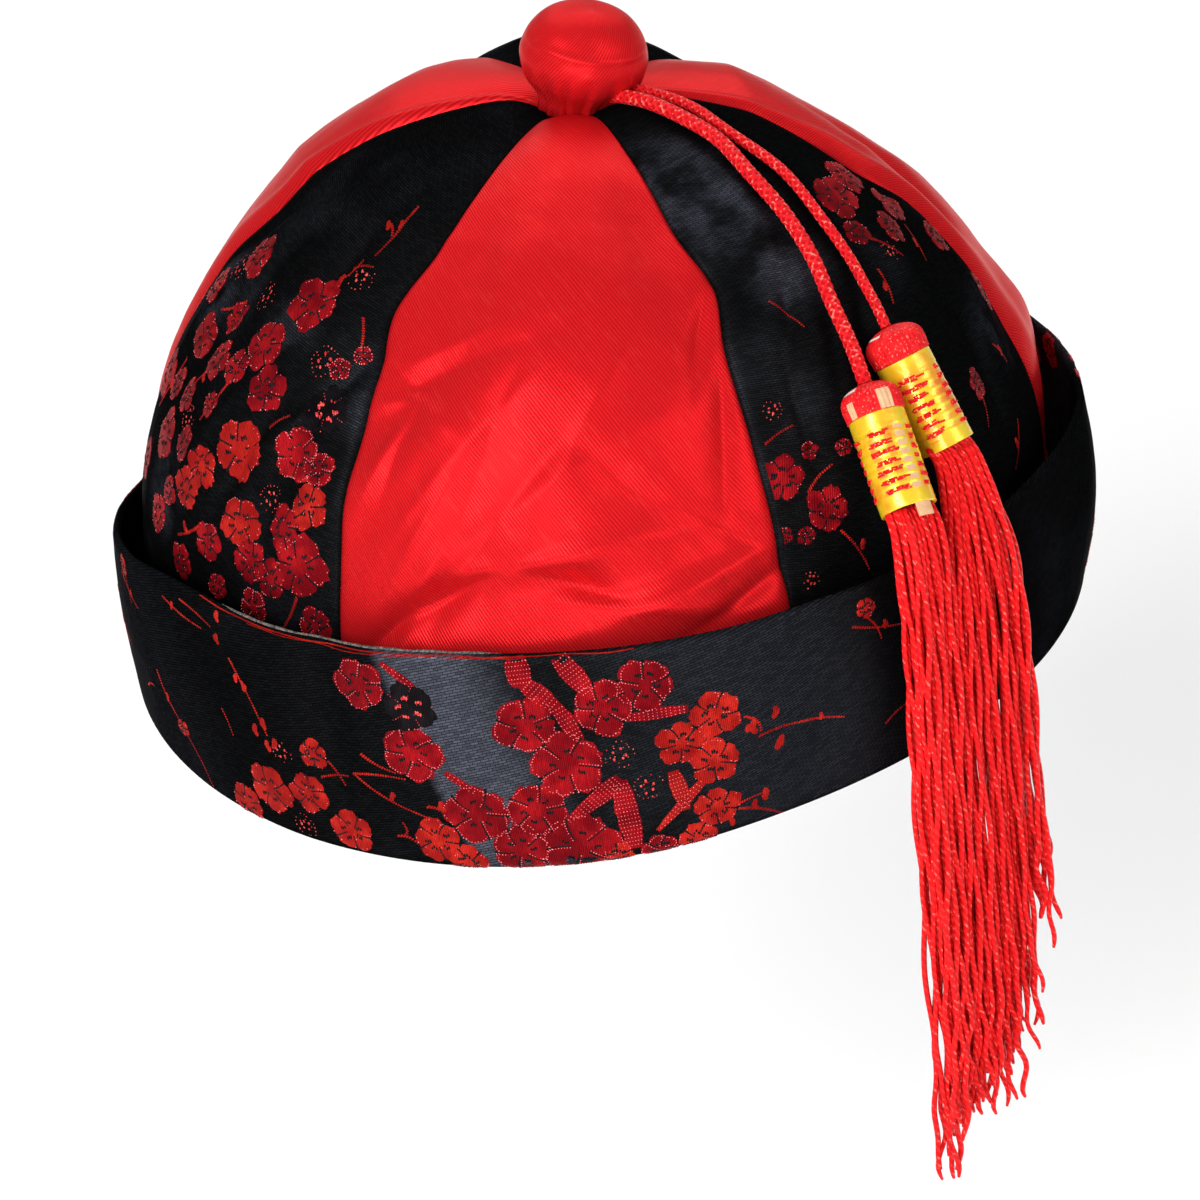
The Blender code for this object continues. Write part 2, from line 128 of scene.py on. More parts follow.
# Finer wrinkles that only the looks have
WRINKLES = (
    # angle, height, turn from level, half length, half width, depth
    (248.6, 0.0852, 22.0, 0.0110, 0.0021, 0.00036),
    (247.6, 0.0884, 26.0, 0.0100, 0.0022, -0.00030),
    (246.3, 0.0784, -32.0, 0.0075, 0.0020, -0.00040),
    (240.6, 0.0732, 66.0, 0.0105, 0.0019, -0.00046),
    (242.6, 0.0742, 74.0, 0.0090, 0.0020, 0.00034),
    (239.2, 0.0800, 14.0, 0.0052, 0.0018, -0.00040),
    (239.4, 0.0838, -26.0, 0.0052, 0.0018, 0.00034),
    (242.4, 0.0812, 0.0, 0.0022, 0.0022, 0.00026),
    (244.0, 0.0440, 42.0, 0.0140, 0.0024, 0.0010),
    (252.0, 0.0500, 28.0, 0.0150, 0.0026, 0.0010),
    (258.5, 0.0545, 8.0, 0.0120, 0.0024, -0.0008),
    (267.0, 0.0500, -22.0, 0.0130, 0.0024, 0.0010),
    (274.0, 0.0455, -10.0, 0.0140, 0.0024, -0.0010),
    (281.0, 0.0480, 12.0, 0.0120, 0.0022, -0.0009),
    (286.0, 0.0430, 20.0, 0.0110, 0.0020, 0.0008),
    (285.0, 0.0560, -35.0, 0.0130, 0.0026, 0.0007),
    (288.0, 0.0700, 75.0, 0.0160, 0.0026, 0.0006),
    (289.0, 0.0870, 60.0, 0.0110, 0.0020, 0.0006),
    (271.0, 0.0800, 55.0, 0.0160, 0.0034, -0.0004),
    (254.0, 0.0700, 70.0, 0.0180, 0.0034, 0.0004),
    (247.0, 0.0600, 58.0, 0.0160, 0.0028, -0.0005),
    (305.0, 0.0860, 65.0, 0.0140, 0.0026, 0.0007),
    (309.0, 0.1000, 82.0, 0.0130, 0.0026, -0.0006),
    (300.0, 0.0700, 85.0, 0.0150, 0.0026, 0.0006),
    (228.0, 0.0780, 60.0, 0.0100, 0.0018, 0.0009),
    (224.5, 0.0740, 40.0, 0.0110, 0.0020, -0.0009),
    (216.0, 0.0640, 65.0, 0.0120, 0.0022, 0.0009),
    (208.0, 0.0660, 60.0, 0.0110, 0.0022, -0.0008),
    (218.0, 0.0960, 84.0, 0.0120, 0.0026, 0.0006),
    (200.0, 0.0880, 72.0, 0.0120, 0.0026, 0.0007),
    (188.0, 0.0960, 60.0, 0.0150, 0.0030, 0.0008),
    (350.0, 0.0960, 70.0, 0.0150, 0.0030, 0.0007),
    (5.0, 0.0860, 70.0, 0.0150, 0.0028, 0.0008),
    (335.0, 0.0560, 80.0, 0.0150, 0.0026, 0.0008),
    (8.0, 0.0480, 90.0, 0.0130, 0.0150, -0.0016),
    (249.0, 0.0690, 50.0, 0.0230, 0.0050, -0.0006),
    (256.0, 0.0600, 52.0, 0.0210, 0.0040, 0.0006),
    (262.0, 0.0660, 30.0, 0.0200, 0.0050, -0.0005),
    (247.0, 0.0500, 62.0, 0.0120, 0.0030, -0.0007),
    (276.0, 0.0620, -50.0, 0.0180, 0.0040, 0.0006),
    (268.0, 0.0560, 8.0, 0.0170, 0.0036, -0.0007),
    (208.0, 0.1000, 20.0, 0.0240, 0.0046, -0.0005),
    (160.0, 0.0960, 28.0, 0.0260, 0.0060, -0.0004),
    (38.0, 0.1040, -30.0, 0.0260, 0.0060, -0.0005),
    (10.0, 0.0860, -60.0, 0.0240, 0.0060, -0.0003),
)
WRINKLE_SHARE = 2.2
WRINKLE_EDGE = 1.3
WRINKLE_HEM = 0.06
WRINKLE_TOP = 0.15
COARSE_RIPPLE = 0.00055
COARSE_SCALE = 62.0
FINE_RIPPLE = 0.00010
FINE_SCALE = 230.0

# Cuff: its rim and its fold all round
CUFF_CLOTH = 0.0016
LEAST_THICKNESS = 0.02
RIM_COLUMN = 2
FOLD_COLUMN = 3
CUFF_EDGES = (
    # angle, rim radius, rim height, fold height, belly
    (0.0, 0.0962, 0.0405, 0.0016, 0.0018),
    (18.0, 0.0970, 0.0385, 0.0008, 0.0014),
    (55.0, 0.0965, 0.0385, 0.0000, 0.0010),
    (100.0, 0.0955, 0.0385, 0.0000, 0.0010),
    (142.0, 0.0940, 0.0340, 0.0000, 0.0010),
    (163.0, 0.0918, 0.0315, 0.0000, 0.0010),
    (180.0, 0.0935, 0.0358, -0.0004, 0.0010),
    (197.0, 0.0955, 0.0412, -0.0010, 0.0008),
    (213.0, 0.0960, 0.0448, -0.0020, 0.0008),
    (230.0, 0.0958, 0.0428, -0.0032, 0.0010),
    (252.0, 0.0955, 0.0425, -0.0035, 0.0010),
    (270.0, 0.0955, 0.0420, -0.0022, 0.0010),
    (290.0, 0.0960, 0.0428, 0.0010, 0.0010),
    (308.0, 0.0962, 0.0432, 0.0027, 0.0012),
    (328.0, 0.0962, 0.0435, 0.0028, 0.0014),
    (345.0, 0.0962, 0.0428, 0.0026, 0.0020),
)
FOLD_RADIUS = 0.0020
FOLD_LIFT = 0.0008
INNER_HEM = 0.0090
HEM_LEAN = 0.0024
HEM_CLEARANCE = 0.0010
CUFF_COLUMNS = 540
CUFF_HEM_ROWS = 6
CUFF_FOLD_ROWS = 14
CUFF_WALL_ROWS = 44
CUFF_RIPPLE = 0.00022
RIPPLE_ROWS = 6
DENT_START = 4
CUFF_DENTS = (
    # angle, share of the height, half width in degrees, half height as a share, depth
    (236.0, 0.60, 3.0, 0.60, 0.0009),
    (243.0, 0.60, 5.0, 0.80, -0.0005),
    (262.0, 0.45, 6.0, 0.70, 0.0004),
    (284.0, 0.60, 6.0, 0.60, -0.0006),
    (292.0, 0.50, 4.0, 0.60, 0.0006),
    (218.0, 0.55, 5.0, 0.60, 0.0007),
    (205.0, 0.50, 5.0, 0.60, -0.0005),
    (330.0, 0.55, 7.0, 0.60, 0.0007),
    (350.0, 0.50, 6.0, 0.60, -0.0006),
    (30.0, 0.55, 7.0, 0.60, 0.0007),
    (75.0, 0.50, 8.0, 0.60, -0.0006),
    (120.0, 0.55, 7.0, 0.60, 0.0007),
    (165.0, 0.50, 6.0, 0.60, -0.0005),
)

# Cords, as in the solids, but with their starts drawn on under the button
CORD_NEAR_RADIUS = 0.00135
CORD_FAR_RADIUS = 0.00100
CORD_POINTS = 34
CORD_NEAR_ROUTE = (
    (0.0098, -0.0042, 0.1113),
    (0.0149, -0.0095, 0.1125),
    (0.0211, -0.0162, 0.1122),
    (0.0298, -0.0254, 0.1090),
    (0.0352, -0.0342, 0.1045),
    (0.0405, -0.0414, 0.0988),
    (0.0444, -0.0479, 0.0923),
    (0.0467, -0.0537, 0.0858),
    (0.0490, -0.0600, 0.0802),
    (0.0501, -0.0643, 0.0766),
    (0.0507, -0.0661, 0.0743),
)
CORD_FAR_ROUTE = (
    (0.0106, -0.0020, 0.1116),
    (0.0181, -0.0068, 0.1123),
    (0.0262, -0.0149, 0.1114),
    (0.0325, -0.0228, 0.1086),
    (0.0414, -0.0313, 0.1030),
    (0.0475, -0.0398, 0.0958),
    (0.0514, -0.0448, 0.0898),
    (0.0534, -0.0490, 0.0860),
    (0.0550, -0.0530, 0.0830),
    (0.0561, -0.0557, 0.0801),
)
BRAID_SIDES = 24
BRAID_STEP = 0.00018
BRAID_PITCH = 0.0034
BRAID_STRANDS = 4
BRAID_DEPTH = 0.08
BRAID_LAY = ((4, 0.588), (4, -0.588))

# Button
BUTTON_BASE = (0.0058, 0.0000, 0.1100)
BUTTON_TILT = 13.0
BUTTON_PROFILE = (
    # radius, height over the base
    (0.0000, 0.0186),
    (0.0042, 0.0182),
    (0.0081, 0.0164),
    (0.0109, 0.0132),
    (0.0122, 0.0094),
    (0.0119, 0.0064),
    (0.0107, 0.0040),
    (0.0091, 0.0022),
    (0.0079, 0.0008),
    (0.0073, -0.0004),
)
BUTTON_NECK = (0.0071, -0.0040)
BUTTON_SIDES = 144
BUTTON_ROWS = 84
GATHERS = 15
GATHER_DEPTH = 0.00032
GATHER_TOP = 0.0080
PLEAT_SWAY = 1.2
PLEAT_SWAYS = 3
SECOND_PLEAT = 0.35
SECOND_PHASE = 0.7
BUTTON_FOLD_HEIGHT = 0.0122
BUTTON_FOLD_WIDTH = 0.0008
BUTTON_FOLD_DEPTH = -0.00045
BUTTON_FOLD_REACH = 0.012
BUTTON_FOLD_BOW = 0.0006
BUTTON_FOLD_FRONT = 1.6
BUTTON_FOLD_START = 0.006

# Tassels: heads along straight axes, then threads that fall outside the cuff
TASSEL_AXES = (
    # name, top of the cap, foot of the band
    ("near", (0.0508, -0.0665, 0.0737), (0.0552, -0.0800, 0.0563)),
    ("far", (0.0563, -0.0563, 0.0797), (0.0650, -0.0663, 0.0585)),
)
CAP_RADIUS = 0.0056
CAP_LENGTH = 0.0055
BAND_RADIUS = 0.0053
BAND_LENGTH = 0.0180
BAND_WALL = 0.0007
CAP_ROWS = 30
CAP_THREADS = 40
CAP_RIB = 0.00007
CAP_UNEVEN = 0.00012
CAP_SIDES = 240
CAP_SWAY = 2.5
CAP_SLANT = 260.0
CAP_MIDDLE = 0.004
CAP_LUMPS = (
    # share, lumps round the cap, phase
    (0.6, 5, 1.0),
    (0.4, 11, 0.0),
)
CAP_OUTLINE = (
    # radius, and height as a share of the cap's length
    (NUDGE, 0.10),
    (CAP_RADIUS * 0.30, 0.08),
    (CAP_RADIUS * 0.62, -0.03),
    (CAP_RADIUS * 0.87, -0.20),
    (CAP_RADIUS, -0.48),
    (CAP_RADIUS * 0.97, -1.04),
)
HEAD_FRONTS = {"near": 73.3, "far": 53.5}
CAP_PATCHES = {
    # middle from the front, half width in degrees, from and to a share of the cap's length, kind
    "near": ((26.0, 15.0, 0.30, 1.1, 1), (-48.0, 9.0, 0.45, 1.1, 1), (-58.0, 26.0, 0.01, 0.13, 2)),
    "far": ((-64.0, 30.0, 0.01, 0.08, 2),),
}
BAND_PATCHES = {
    # middle from the front, half width in degrees, from and to a share of the band's length, kind
    "near": ((32.0, 12.0, 0.18, 0.86, 2), (-30.0, 8.0, 0.18, 0.86, 3), (5.0, 7.0, 0.18, 0.86, 3)),
    "far": ((40.0, 14.0, 0.30, 0.86, 3), (-20.0, 12.0, 0.16, 0.90, 3)),
}
BAND_ROWS = 88
BAND_SIDES = 96
BAND_CREASE = 0.00004
BAND_WAVES = (
    # share, waves round the band, slant
    (1.0, 2, 300.0),
    (0.6, 5, -500.0),
)
BAND_PLAIN = 0.16
BAND_TURNS = 7
BAND_TURNS_TOP = 0.22
BAND_TURNS_FOOT = 0.82
BAND_STRANDS = 3
BAND_COLUMNS = (
    # middle of a column of red threads from the front, half its width, in degrees
    (-12.0, 27.0),
    (-84.0, 14.0),
    (58.0, 9.0),
    (150.0, 40.0),
)
FOIL_TURNS = 11
FOIL_GAP = -0.2
FOIL_STEP = 0.00008
TURN_LIFT = 0.00002
TURN_THICKNESS = 0.00019
TURN_SWAY = 0.00012
TURN_END = 0.7
STRAND_STEP = 1.4
COLUMN_DRAW = (0.75, 1.15)
SWEEP_DRAW = (0.12, 0.34)
BREAK_DRAW = (0.02, 0.10)
ARC_STEP = 0.14
ARC_LEAST = 3
ARC_SIDES = 6
CLUMP_TURNS = 0.35
CLUMP_FLATNESS = 0.8
HANG_ANGLE = 311.0
INNER_ROW = 0.1006
OUTER_ROW = 0.1036
CLUMPS = (
    # tassel, shift to the side at the rim and at the tip, distance from the hat's axis, tip height, threads
    ("near", -0.0172, -0.0196, INNER_ROW, -0.0835, 6),
    ("near", -0.0148, -0.0166, INNER_ROW, -0.0770, 6),
    ("near", -0.0120, -0.0130, INNER_ROW, -0.0715, 6),
    ("near", -0.0088, -0.0088, INNER_ROW, -0.0720, 7),
    ("near", -0.0163, -0.0180, OUTER_ROW, -0.0700, 7),
    ("near", -0.0134, -0.0146, OUTER_ROW, -0.0650, 7),
    ("near", -0.0104, -0.0106, OUTER_ROW, -0.0760, 7),
    ("far", -0.0042, -0.0048, INNER_ROW, -0.0735, 7),
    ("far", 0.0008, 0.0004, INNER_ROW, -0.0675, 7),
    ("far", 0.0054, 0.0058, INNER_ROW, -0.0540, 6),
    ("far", 0.0098, 0.0116, INNER_ROW, -0.0400, 6),
    ("far", -0.0066, -0.0074, OUTER_ROW, -0.0660, 7),
    ("far", -0.0018, -0.0026, OUTER_ROW, -0.0700, 7),
    ("far", 0.0030, 0.0030, OUTER_ROW, -0.0610, 6),
    ("far", 0.0078, 0.0088, OUTER_ROW, -0.0450, 6),
)
STRIP_TURNS = (14.0, 52.0)
STRIP_SIDES = 9
STRIP_RADIUS = 0.0050
STRIP_WALL = 0.0003
STRIP_TUCK = 0.0006
STRIP_DROP = 0.0026
DROP_START = 0.0360
THREAD_RADIUS = 0.00052
THREAD_SIDES = 7
THREAD_STEP = 0.00085
ROOT_REACH = 0.0041
ROOT_DEPTH = 0.80
ROOT_FILL = 0.70
ROOT_FANNING = 1.10
ROOT_LEAVE = 0.0050
ROOT_TUCK = 0.0020
THREAD_LAY = ((2, 0.55),)
THREAD_METAL = 0.0
# Painted shade: a thread's colour darkened to this share in the grooves between its strands
THREAD_GROOVE_SHADE = 0.80
THREAD_GLOSS = 0.12
THREAD_WAVE = 0.00050
THREAD_WAVE_LENGTH = 0.0330
THREAD_TIP_SPREAD = 0.0150
TIP_WAVE = 0.00110
TIP_WAVE_LENGTH = 0.0120
CLUMP_SPREAD = 0.0019
OUTWARD_SWAY = 0.4
FILL_END = 0.25
TIP_SPREAD = 0.25
TIP_FANNING = (0.7, 1.0)
SWAY_START = 0.15
SWAY_PHASE = 3
CURL_START = 0.65
CURL_PHASE = 5
TIP_TAPER = 0.45
TAPER_START = 0.985
TIP_DRAW = (-0.2, 1.0)
REACH_DRAW = (0.15, 1.0)
CURL_DRAW = (0.2, 1.0)
THICK_DRAW = (0.85, 1.12)

# Colours and weaves, with their periods in millimetres
# A ramp is its low and its high end, and a bump its strength and its depth
PLAIN_GLOSS = 0.5
WHITE = (1.0, 1.0, 1.0)
BLACK = (0.0, 0.0, 0.0)
MIX_FIRST, MIX_SECOND, MIX_RESULT = 6, 7, 2
WAVE_SCALE = math.pi / 10
WEAVE_BUMP = (0.30, 0.00012)
TWILL_TURN = 36.0
TWILL_PERIOD = 0.56
TWILL_UNEVEN = (0.30, 2.0)
TWILL_RAMP = (0.15, 0.80)
YARN_SCALE = 1.1
YARN_DETAIL = 3.0
YARN_STRETCH = (1.0, 6.0, 1.0)
# Painted sheen on the satin: streaks of the yarn's noise, painted in the salmon of its highlights
SHEEN_STREAK_RAMP = (0.50, 0.80)
SHEEN_STREAK_SHARE = 0.10
YARN_HEIGHT = 0.4
STITCH_TURN = -12.0
STITCH_LENGTH = 1.5
STITCH_HEIGHT = 0.46
STITCH_GAP = 0.10
STITCH_GREY = (0.45, 0.45, 0.45)
STITCH_SOFTNESS = 0.8
RED_DEEP = (0.50, 0.006, 0.009)
RED_BRIGHT = (0.66, 0.014, 0.018)
# Salmon of the satin's highlights, painted in streaks
PAINTED_SATIN_SHEEN = (0.90, 0.075, 0.055)
SATIN_TINT = (1.0, 0.30, 0.22)
SATIN_ROUGHNESS = 0.31
SATIN_METAL = 0.34
SATIN_GLOSS = 0.06
FLOSS_METAL = 0.20
FLOSS_GLOSS = 0.02
FLOSS_CLOUDS = 85.0
FLOSS_SHADE = 0.42
FLOSS_PERIOD = 0.34
FLOSS_UNEVEN = (1.2, 1.5)
FLOSS_RUN = (1.3, 3.0)
FLOSS_STRETCH = (0.5, 4.0, 1.0)
FLOSS_PATCHES = 260.0
PATCH_RAMP = (0.36, 0.64)
SHADE_RAMP = (0.36, 0.60)
FLOSS_BUMP = (0.6, 0.00015)
# The light colour of a floss is its floats' painted sheen
FLOSSES = (
    # name, roughness, deep, light
    ("red_floss", 0.34, (0.10, 0.002, 0.005), (0.40, 0.008, 0.012)),
    ("orange_floss", 0.40, (0.19, 0.004, 0.005), (0.58, 0.024, 0.015)),
    ("black_floss", 0.30, (0.002, 0.002, 0.003), (0.012, 0.012, 0.014)),
)
TONE_NOISE = (700.0, 3.0)
TONE_RAMP = (0.3, 0.75)
SPECK_EDGE = 0.08
# Where a strand's crest takes painted glints, and where its groove takes painted shade
CREST_RAMP = (0.35, 0.95)
GROOVE_SHADE_RAMP = (-0.3, 0.7)
PLY_BUMP = (0.35, 0.00016)
WOUND_SCALE = 1500.0
WOUND_BUMP = (0.25, 0.0002)
SHINY_THREADS = (
    # name, roughness, colour, light, painted glint colour, painted glints' start and scale, lays
    ("red_cord_braid", 0.42, (0.62, 0.008, 0.014), (0.86, 0.022, 0.024), (1.0, 0.19, 0.14),
     0.56, 1300.0, BRAID_LAY),
    ("red_wound_thread", 0.45, (0.62, 0.008, 0.014), (0.82, 0.020, 0.022), (1.0, 0.16, 0.12),
     0.62, 2300.0, ()),
    ("red_fringe_thread", 0.42, (0.84, 0.011, 0.014), (0.98, 0.030, 0.028), (1.0, 0.15, 0.12),
     0.56, 1300.0, THREAD_LAY),
)
BROCADE_ROUGHNESS = 0.42
BROCADE_METAL = 0.55
# Painted sheen on the black brocade: slate colour painted into the base colour in cloudy patches, in gleams
# broken up by noise, and in zones
SHEEN_CLOUD_SCALE = 34.0
SHEEN_CLOUD_RAMP = (0.52, 0.74)
GLEAM_BREAKUP_SCALE = 130.0
GLEAM_BREAKUP_RAMP = (0.30, 0.62)
GLEAM_HEART = 0.15
BROCADE_EDGE = (0.02, 0.02, 0.022)
ZONE_LEAN = 0.5556
BLACK_DEEP = (0.0022, 0.0023, 0.0025)
BLACK_LIGHT = (0.0085, 0.0088, 0.0095)
# Slate colours of the painted sheen
PAINTED_SHEEN_DEEP = (0.014, 0.015, 0.020)
PAINTED_SHEEN_LIGHT = (0.095, 0.100, 0.130)
# Painted sheen on the cuff: zones of angle, leaning with height, where slate colour is painted into the
# ground
CUFF_PAINTED_SHEEN = (
    # angles level with the opening: start, full from, full until, end; strength
    (250.6, 252.2, 258.0, 268.0, 0.84),
    (270.0, 286.0, 296.0, 310.0, 0.16),
    (5.0, 15.0, 30.0, 54.0, 0.45),
    (88.0, 94.0, 116.0, 134.0, 0.60),
    (148.0, 154.0, 164.0, 176.0, 0.45),
    (190.0, 200.0, 210.0, 224.0, 0.10),
)
# Painted gleams on the brocade gores: round spots of slate colour painted into the ground
GORE_PAINTED_GLEAMS = (
    # angle, height, reach, strength
    (297.0, 0.1050, 0.0160, 0.55),
    (303.0, 0.1000, 0.0150, 0.55),
    (308.0, 0.0900, 0.0110, 0.55),
    (188.0, 0.0840, 0.0120, 0.60),
    (200.0, 0.0520, 0.0120, 0.55),
    (215.0, 0.0860, 0.0100, 0.30),
    (345.0, 0.0620, 0.0130, 0.35),
    (318.0, 0.0420, 0.0090, 0.22),
    (84.0, 0.0940, 0.0160, 0.50),
    (72.0, 0.0600, 0.0150, 0.45),
    (98.0, 0.0480, 0.0120, 0.40),
)
# Strength of the painted sheen's cloudy patches on the cuff and the gores
CUFF_PAINTED_SHEEN_CLOUDS = 0.08
GORE_PAINTED_SHEEN_CLOUDS = 0.14
KNOT_GLOSS = 0.03
FIBRE_NOISE = (1500.0, 4.0, 0.7)
SORTS = {
    # metal, gloss, specks' noise and ramp, relief's noise and bump
    "foil": (0.30, 0.7, (180.0, 2.0), (0.50, 0.72), (420.0, 3.0), (0.35, 0.0004)),
    "paper": (0.0, PLAIN_GLOSS, (900.0, 3.0), None, None, None),
    "fibre": (0.0, PLAIN_GLOSS, FIBRE_NOISE, (0.35, 0.7), FIBRE_NOISE, (0.8, 0.0004)),
    "cloth": (0.0, PLAIN_GLOSS, (1400.0, 2.0), None, None, None),
    "knot": (0.0, KNOT_GLOSS, (2600.0, 2.0), (0.35, 0.75), None, None),
    "floor": (0.0, PLAIN_GLOSS, (12.0, 2.0), None, None, None),
}
SPECKLED_FINISHES = (
    # name, sort, roughness, first and second colour
    ("gold_foil_wrap", "foil", 0.26, (0.86, 0.60, 0.02), (0.84, 0.34, 0.015)),
    ("orange_foil_wrap", "foil", 0.26, (0.86, 0.40, 0.03), (0.82, 0.17, 0.02)),
    ("paper_ring", "paper", 0.75, (0.58, 0.30, 0.14), (0.80, 0.50, 0.28)),
    ("white_core", "paper", 0.75, (0.62, 0.55, 0.50), (0.90, 0.86, 0.82)),
    ("raw_edge_fibre", "fibre", 0.85, (0.035, 0.030, 0.028), (0.23, 0.20, 0.17)),
    ("cloth_wrong_side", "cloth", 0.80, (0.010, 0.008, 0.009), (0.035, 0.026, 0.028)),
    # Pale pink binding points, painted glints
    ("pink_glint_knot", "knot", 0.35, (0.72, 0.07, 0.09), (0.95, 0.28, 0.27)),
    ("red_knot", "knot", 0.40, (0.46, 0.008, 0.012), (0.80, 0.13, 0.11)),
    ("black_knot", "knot", 0.45, (0.003, 0.003, 0.004), (0.012, 0.012, 0.014)),
)

# Woven pattern: the crown's run and centre and the pattern's radius in metres, all else in millimetres
CROWN_RUN = 0.1600
CROWN_CENTRE = (0.0, 0.0, 0.020)
PATTERN_RADIUS = 0.0950
BLOSSOM_SIDES = 44
BLOSSOM_TURNS = (0.0, 1.2)
BLOSSOM_RINGS = (
    # share of the radius, share of the lift
    (0.35, 1.0),
    (0.70, 1.0),
    (0.92, 0.8),
    (1.0, 0.1),
)
PETALS = 5
PETAL_TURN = math.radians(72)
PETAL_DRAW = (-1.0, 0.6)
PETAL_CURL = 0.45
PETAL_ROW = 0.60
PETAL_GAP = 0.84
LOBE_ROUNDNESS = 0.55
OUTLINE_PLACE = 0.9
OUTLINE_DRAW = (0.90, 0.98)
RAGGED = 0.075
PETAL_NOTCH = 0.24
BLOSSOM_SCALE = 1.22
FLOSS_LIFT = 0.16
DASH_LIFT = 0.10
DASH_FOOT = 0.012
DASH_OUTLINE = ((0.5, 0.0), (0.28, 0.5), (-0.28, 0.5), (-0.5, 0.0), (-0.28, -0.5), (0.28, -0.5))
STANDING_SHARE = 0.9
DOT_SIZE = 0.23
DOT_DRAW = (0.7, 1.1)
DOT_STRETCH = 1.2
FLAT_DOT = 0.8
GAP_STITCH = 0.42
GAP_LENGTH = 1.2
GAP_LIFT = 0.92
BESIDE_GAP = 0.9
MIDDLE_LENGTH = 1.15
MIDDLE_WIDTH = 0.42
MIDDLE_DRAW = (0.6, 1.0)
MIDDLE_PLACE = 0.40
MIDDLE_TURN = 0.2
MIDDLE_SWAY = 0.3
MIDDLE_LIFT = 1.15
MIDDLE_RADIUS = 4
MIDDLE_STEP = 0.42
DOT_SPACING = 0.54
OPEN_SPACING = DOT_SPACING * 1.6
PETAL_SWAY = 0.13
# Pale pink dots are painted glints on the binding points: 'pink' blossoms, set round the cuff's painted-sheen
# zone, carry many, 'plain' and 'deep' ones few
STYLES = {
    # fill, dots of the outline and their share, dots between petals and their share, stitches in the middle
    "pink": ("red_floss", "pink_dot", 0.85, "pink_dot", 0.9, "black_dot"),
    "plain": ("orange_floss", "pink_dot", 0.22, "pink_dot", 0.20, "black_dot"),
    "deep": ("red_floss", "pink_dot", 0.30, "pink_dot", 0.35, "black_dot"),
    "black": ("black_floss", "black_dot", 0.6, "red_dot", 0.6, "red_dot"),
    "dots": (None, "red_dot", 0.6, "red_dot", 0.6, "red_dot"),
}
TWIG_SPACING = 0.50
TWIG_STITCH = 0.36
TWIG_SLANT = 1.1
TWIG_LEAST = 3
TWIG_TAPER = 0.4
TWIG_LENGTH = 1.25
TWIG_DRAW = (0.8, 1.15)
BUD_SWAY = 0.4
BUD_STEP = 0.5
BUD_TURN = 0.5
BUD_LENGTH = 1.5
BUD_WIDTH = 0.9
BRANCH_LEAST = 4
BRANCH_STEP = 0.8
BRANCH_END = 0.12
BRANCH_DRAW = (0.88, 1.06)
BRANCH_RINGS = (
    # share of the width, lift
    (0.5, FLOSS_LIFT),
    (0.9, FLOSS_LIFT * 0.8),
    (1.0, DASH_FOOT),
)

# Woven plum blossom: places on the cuff, in degrees, and in millimetres up from the opening's plane
CUFF_BLOSSOMS = (
    # angle, height, radius, style
    (240.9, 35.4, 4.4, "pink"), (246.1, 22.1, 4.9, "pink"), (259.3, 28.0, 5.0, "pink"),
    (263.4, 19.5, 5.8, "pink"), (267.8, 30.8, 4.8, "pink"), (272.7, 34.4, 4.5, "pink"),
    (279.8, 26.5, 4.0, "plain"), (275.8, 21.5, 3.8, "plain"), (279.2, 16.7, 4.0, "plain"),
    (252.6, 9.5, 5.5, "pink"), (259.3, 10.3, 5.1, "pink"), (256.9, 1.6, 4.8, "pink"),
    (263.6, 1.9, 6.2, "pink"), (247.4, 3.1, 4.2, "plain"), (279.1, 6.6, 3.6, "plain"),
    (276.6, 0.4, 3.3, "plain"), (250.5, -1.6, 3.3, "plain"), (236.4, 2.3, 3.9, "plain"),
    (233.0, 18.1, 2.6, "plain"), (220.4, 1.2, 3.8, "plain"), (225.3, 7.1, 4.5, "plain"),
    (231.3, 9.1, 3.7, "plain"), (298.4, 38.5, 1.8, "plain"), (246.6, 31.8, 4.3, "black"),
    (269.0, 20.8, 2.5, "dots"), (271.7, 13.5, 2.5, "dots"), (228.4, 16.6, 2.2, "dots"),
    (229.7, 0.9, 2.2, "dots"), (209.5, 11.0, 1.5, "plain"), (272.4, -0.6, 3.0, "pink"),
    (267.6, -0.9, 2.6, "plain"),
)
CUFF_BRANCHES = (
    # from angle, height, to angle, height, width at each end, kind
    (259.1, 42.0, 259.4, 36.0, 5.2, 4.6, "red_floss"),
    (259.6, 36.8, 263.0, 31.4, 4.4, 3.2, "red_floss"),
    (262.8, 32.0, 265.0, 24.4, 3.4, 3.0, "red_floss"),
    (263.6, 41.8, 266.8, 33.6, 4.6, 3.6, "red_floss"),
    (270.2, 28.2, 277.0, 28.4, 2.2, 2.4, "red_floss"),
    (262.3, 7.2, 268.9, 15.6, 1.6, 4.8, "red_floss"),
    (268.7, 15.4, 269.6, 0.4, 4.4, 4.2, "red_floss"),
    (274.6, 16.0, 275.6, 7.2, 3.4, 2.6, "orange_floss"),
    (272.2, 3.6, 277.6, 12.6, 1.4, 2.6, "orange_floss"),
    (243.8, 40.4, 247.4, 35.8, 1.4, 1.8, "red_floss"),
    (249.6, 18.2, 253.0, 13.8, 1.8, 1.4, "red_floss"),
)
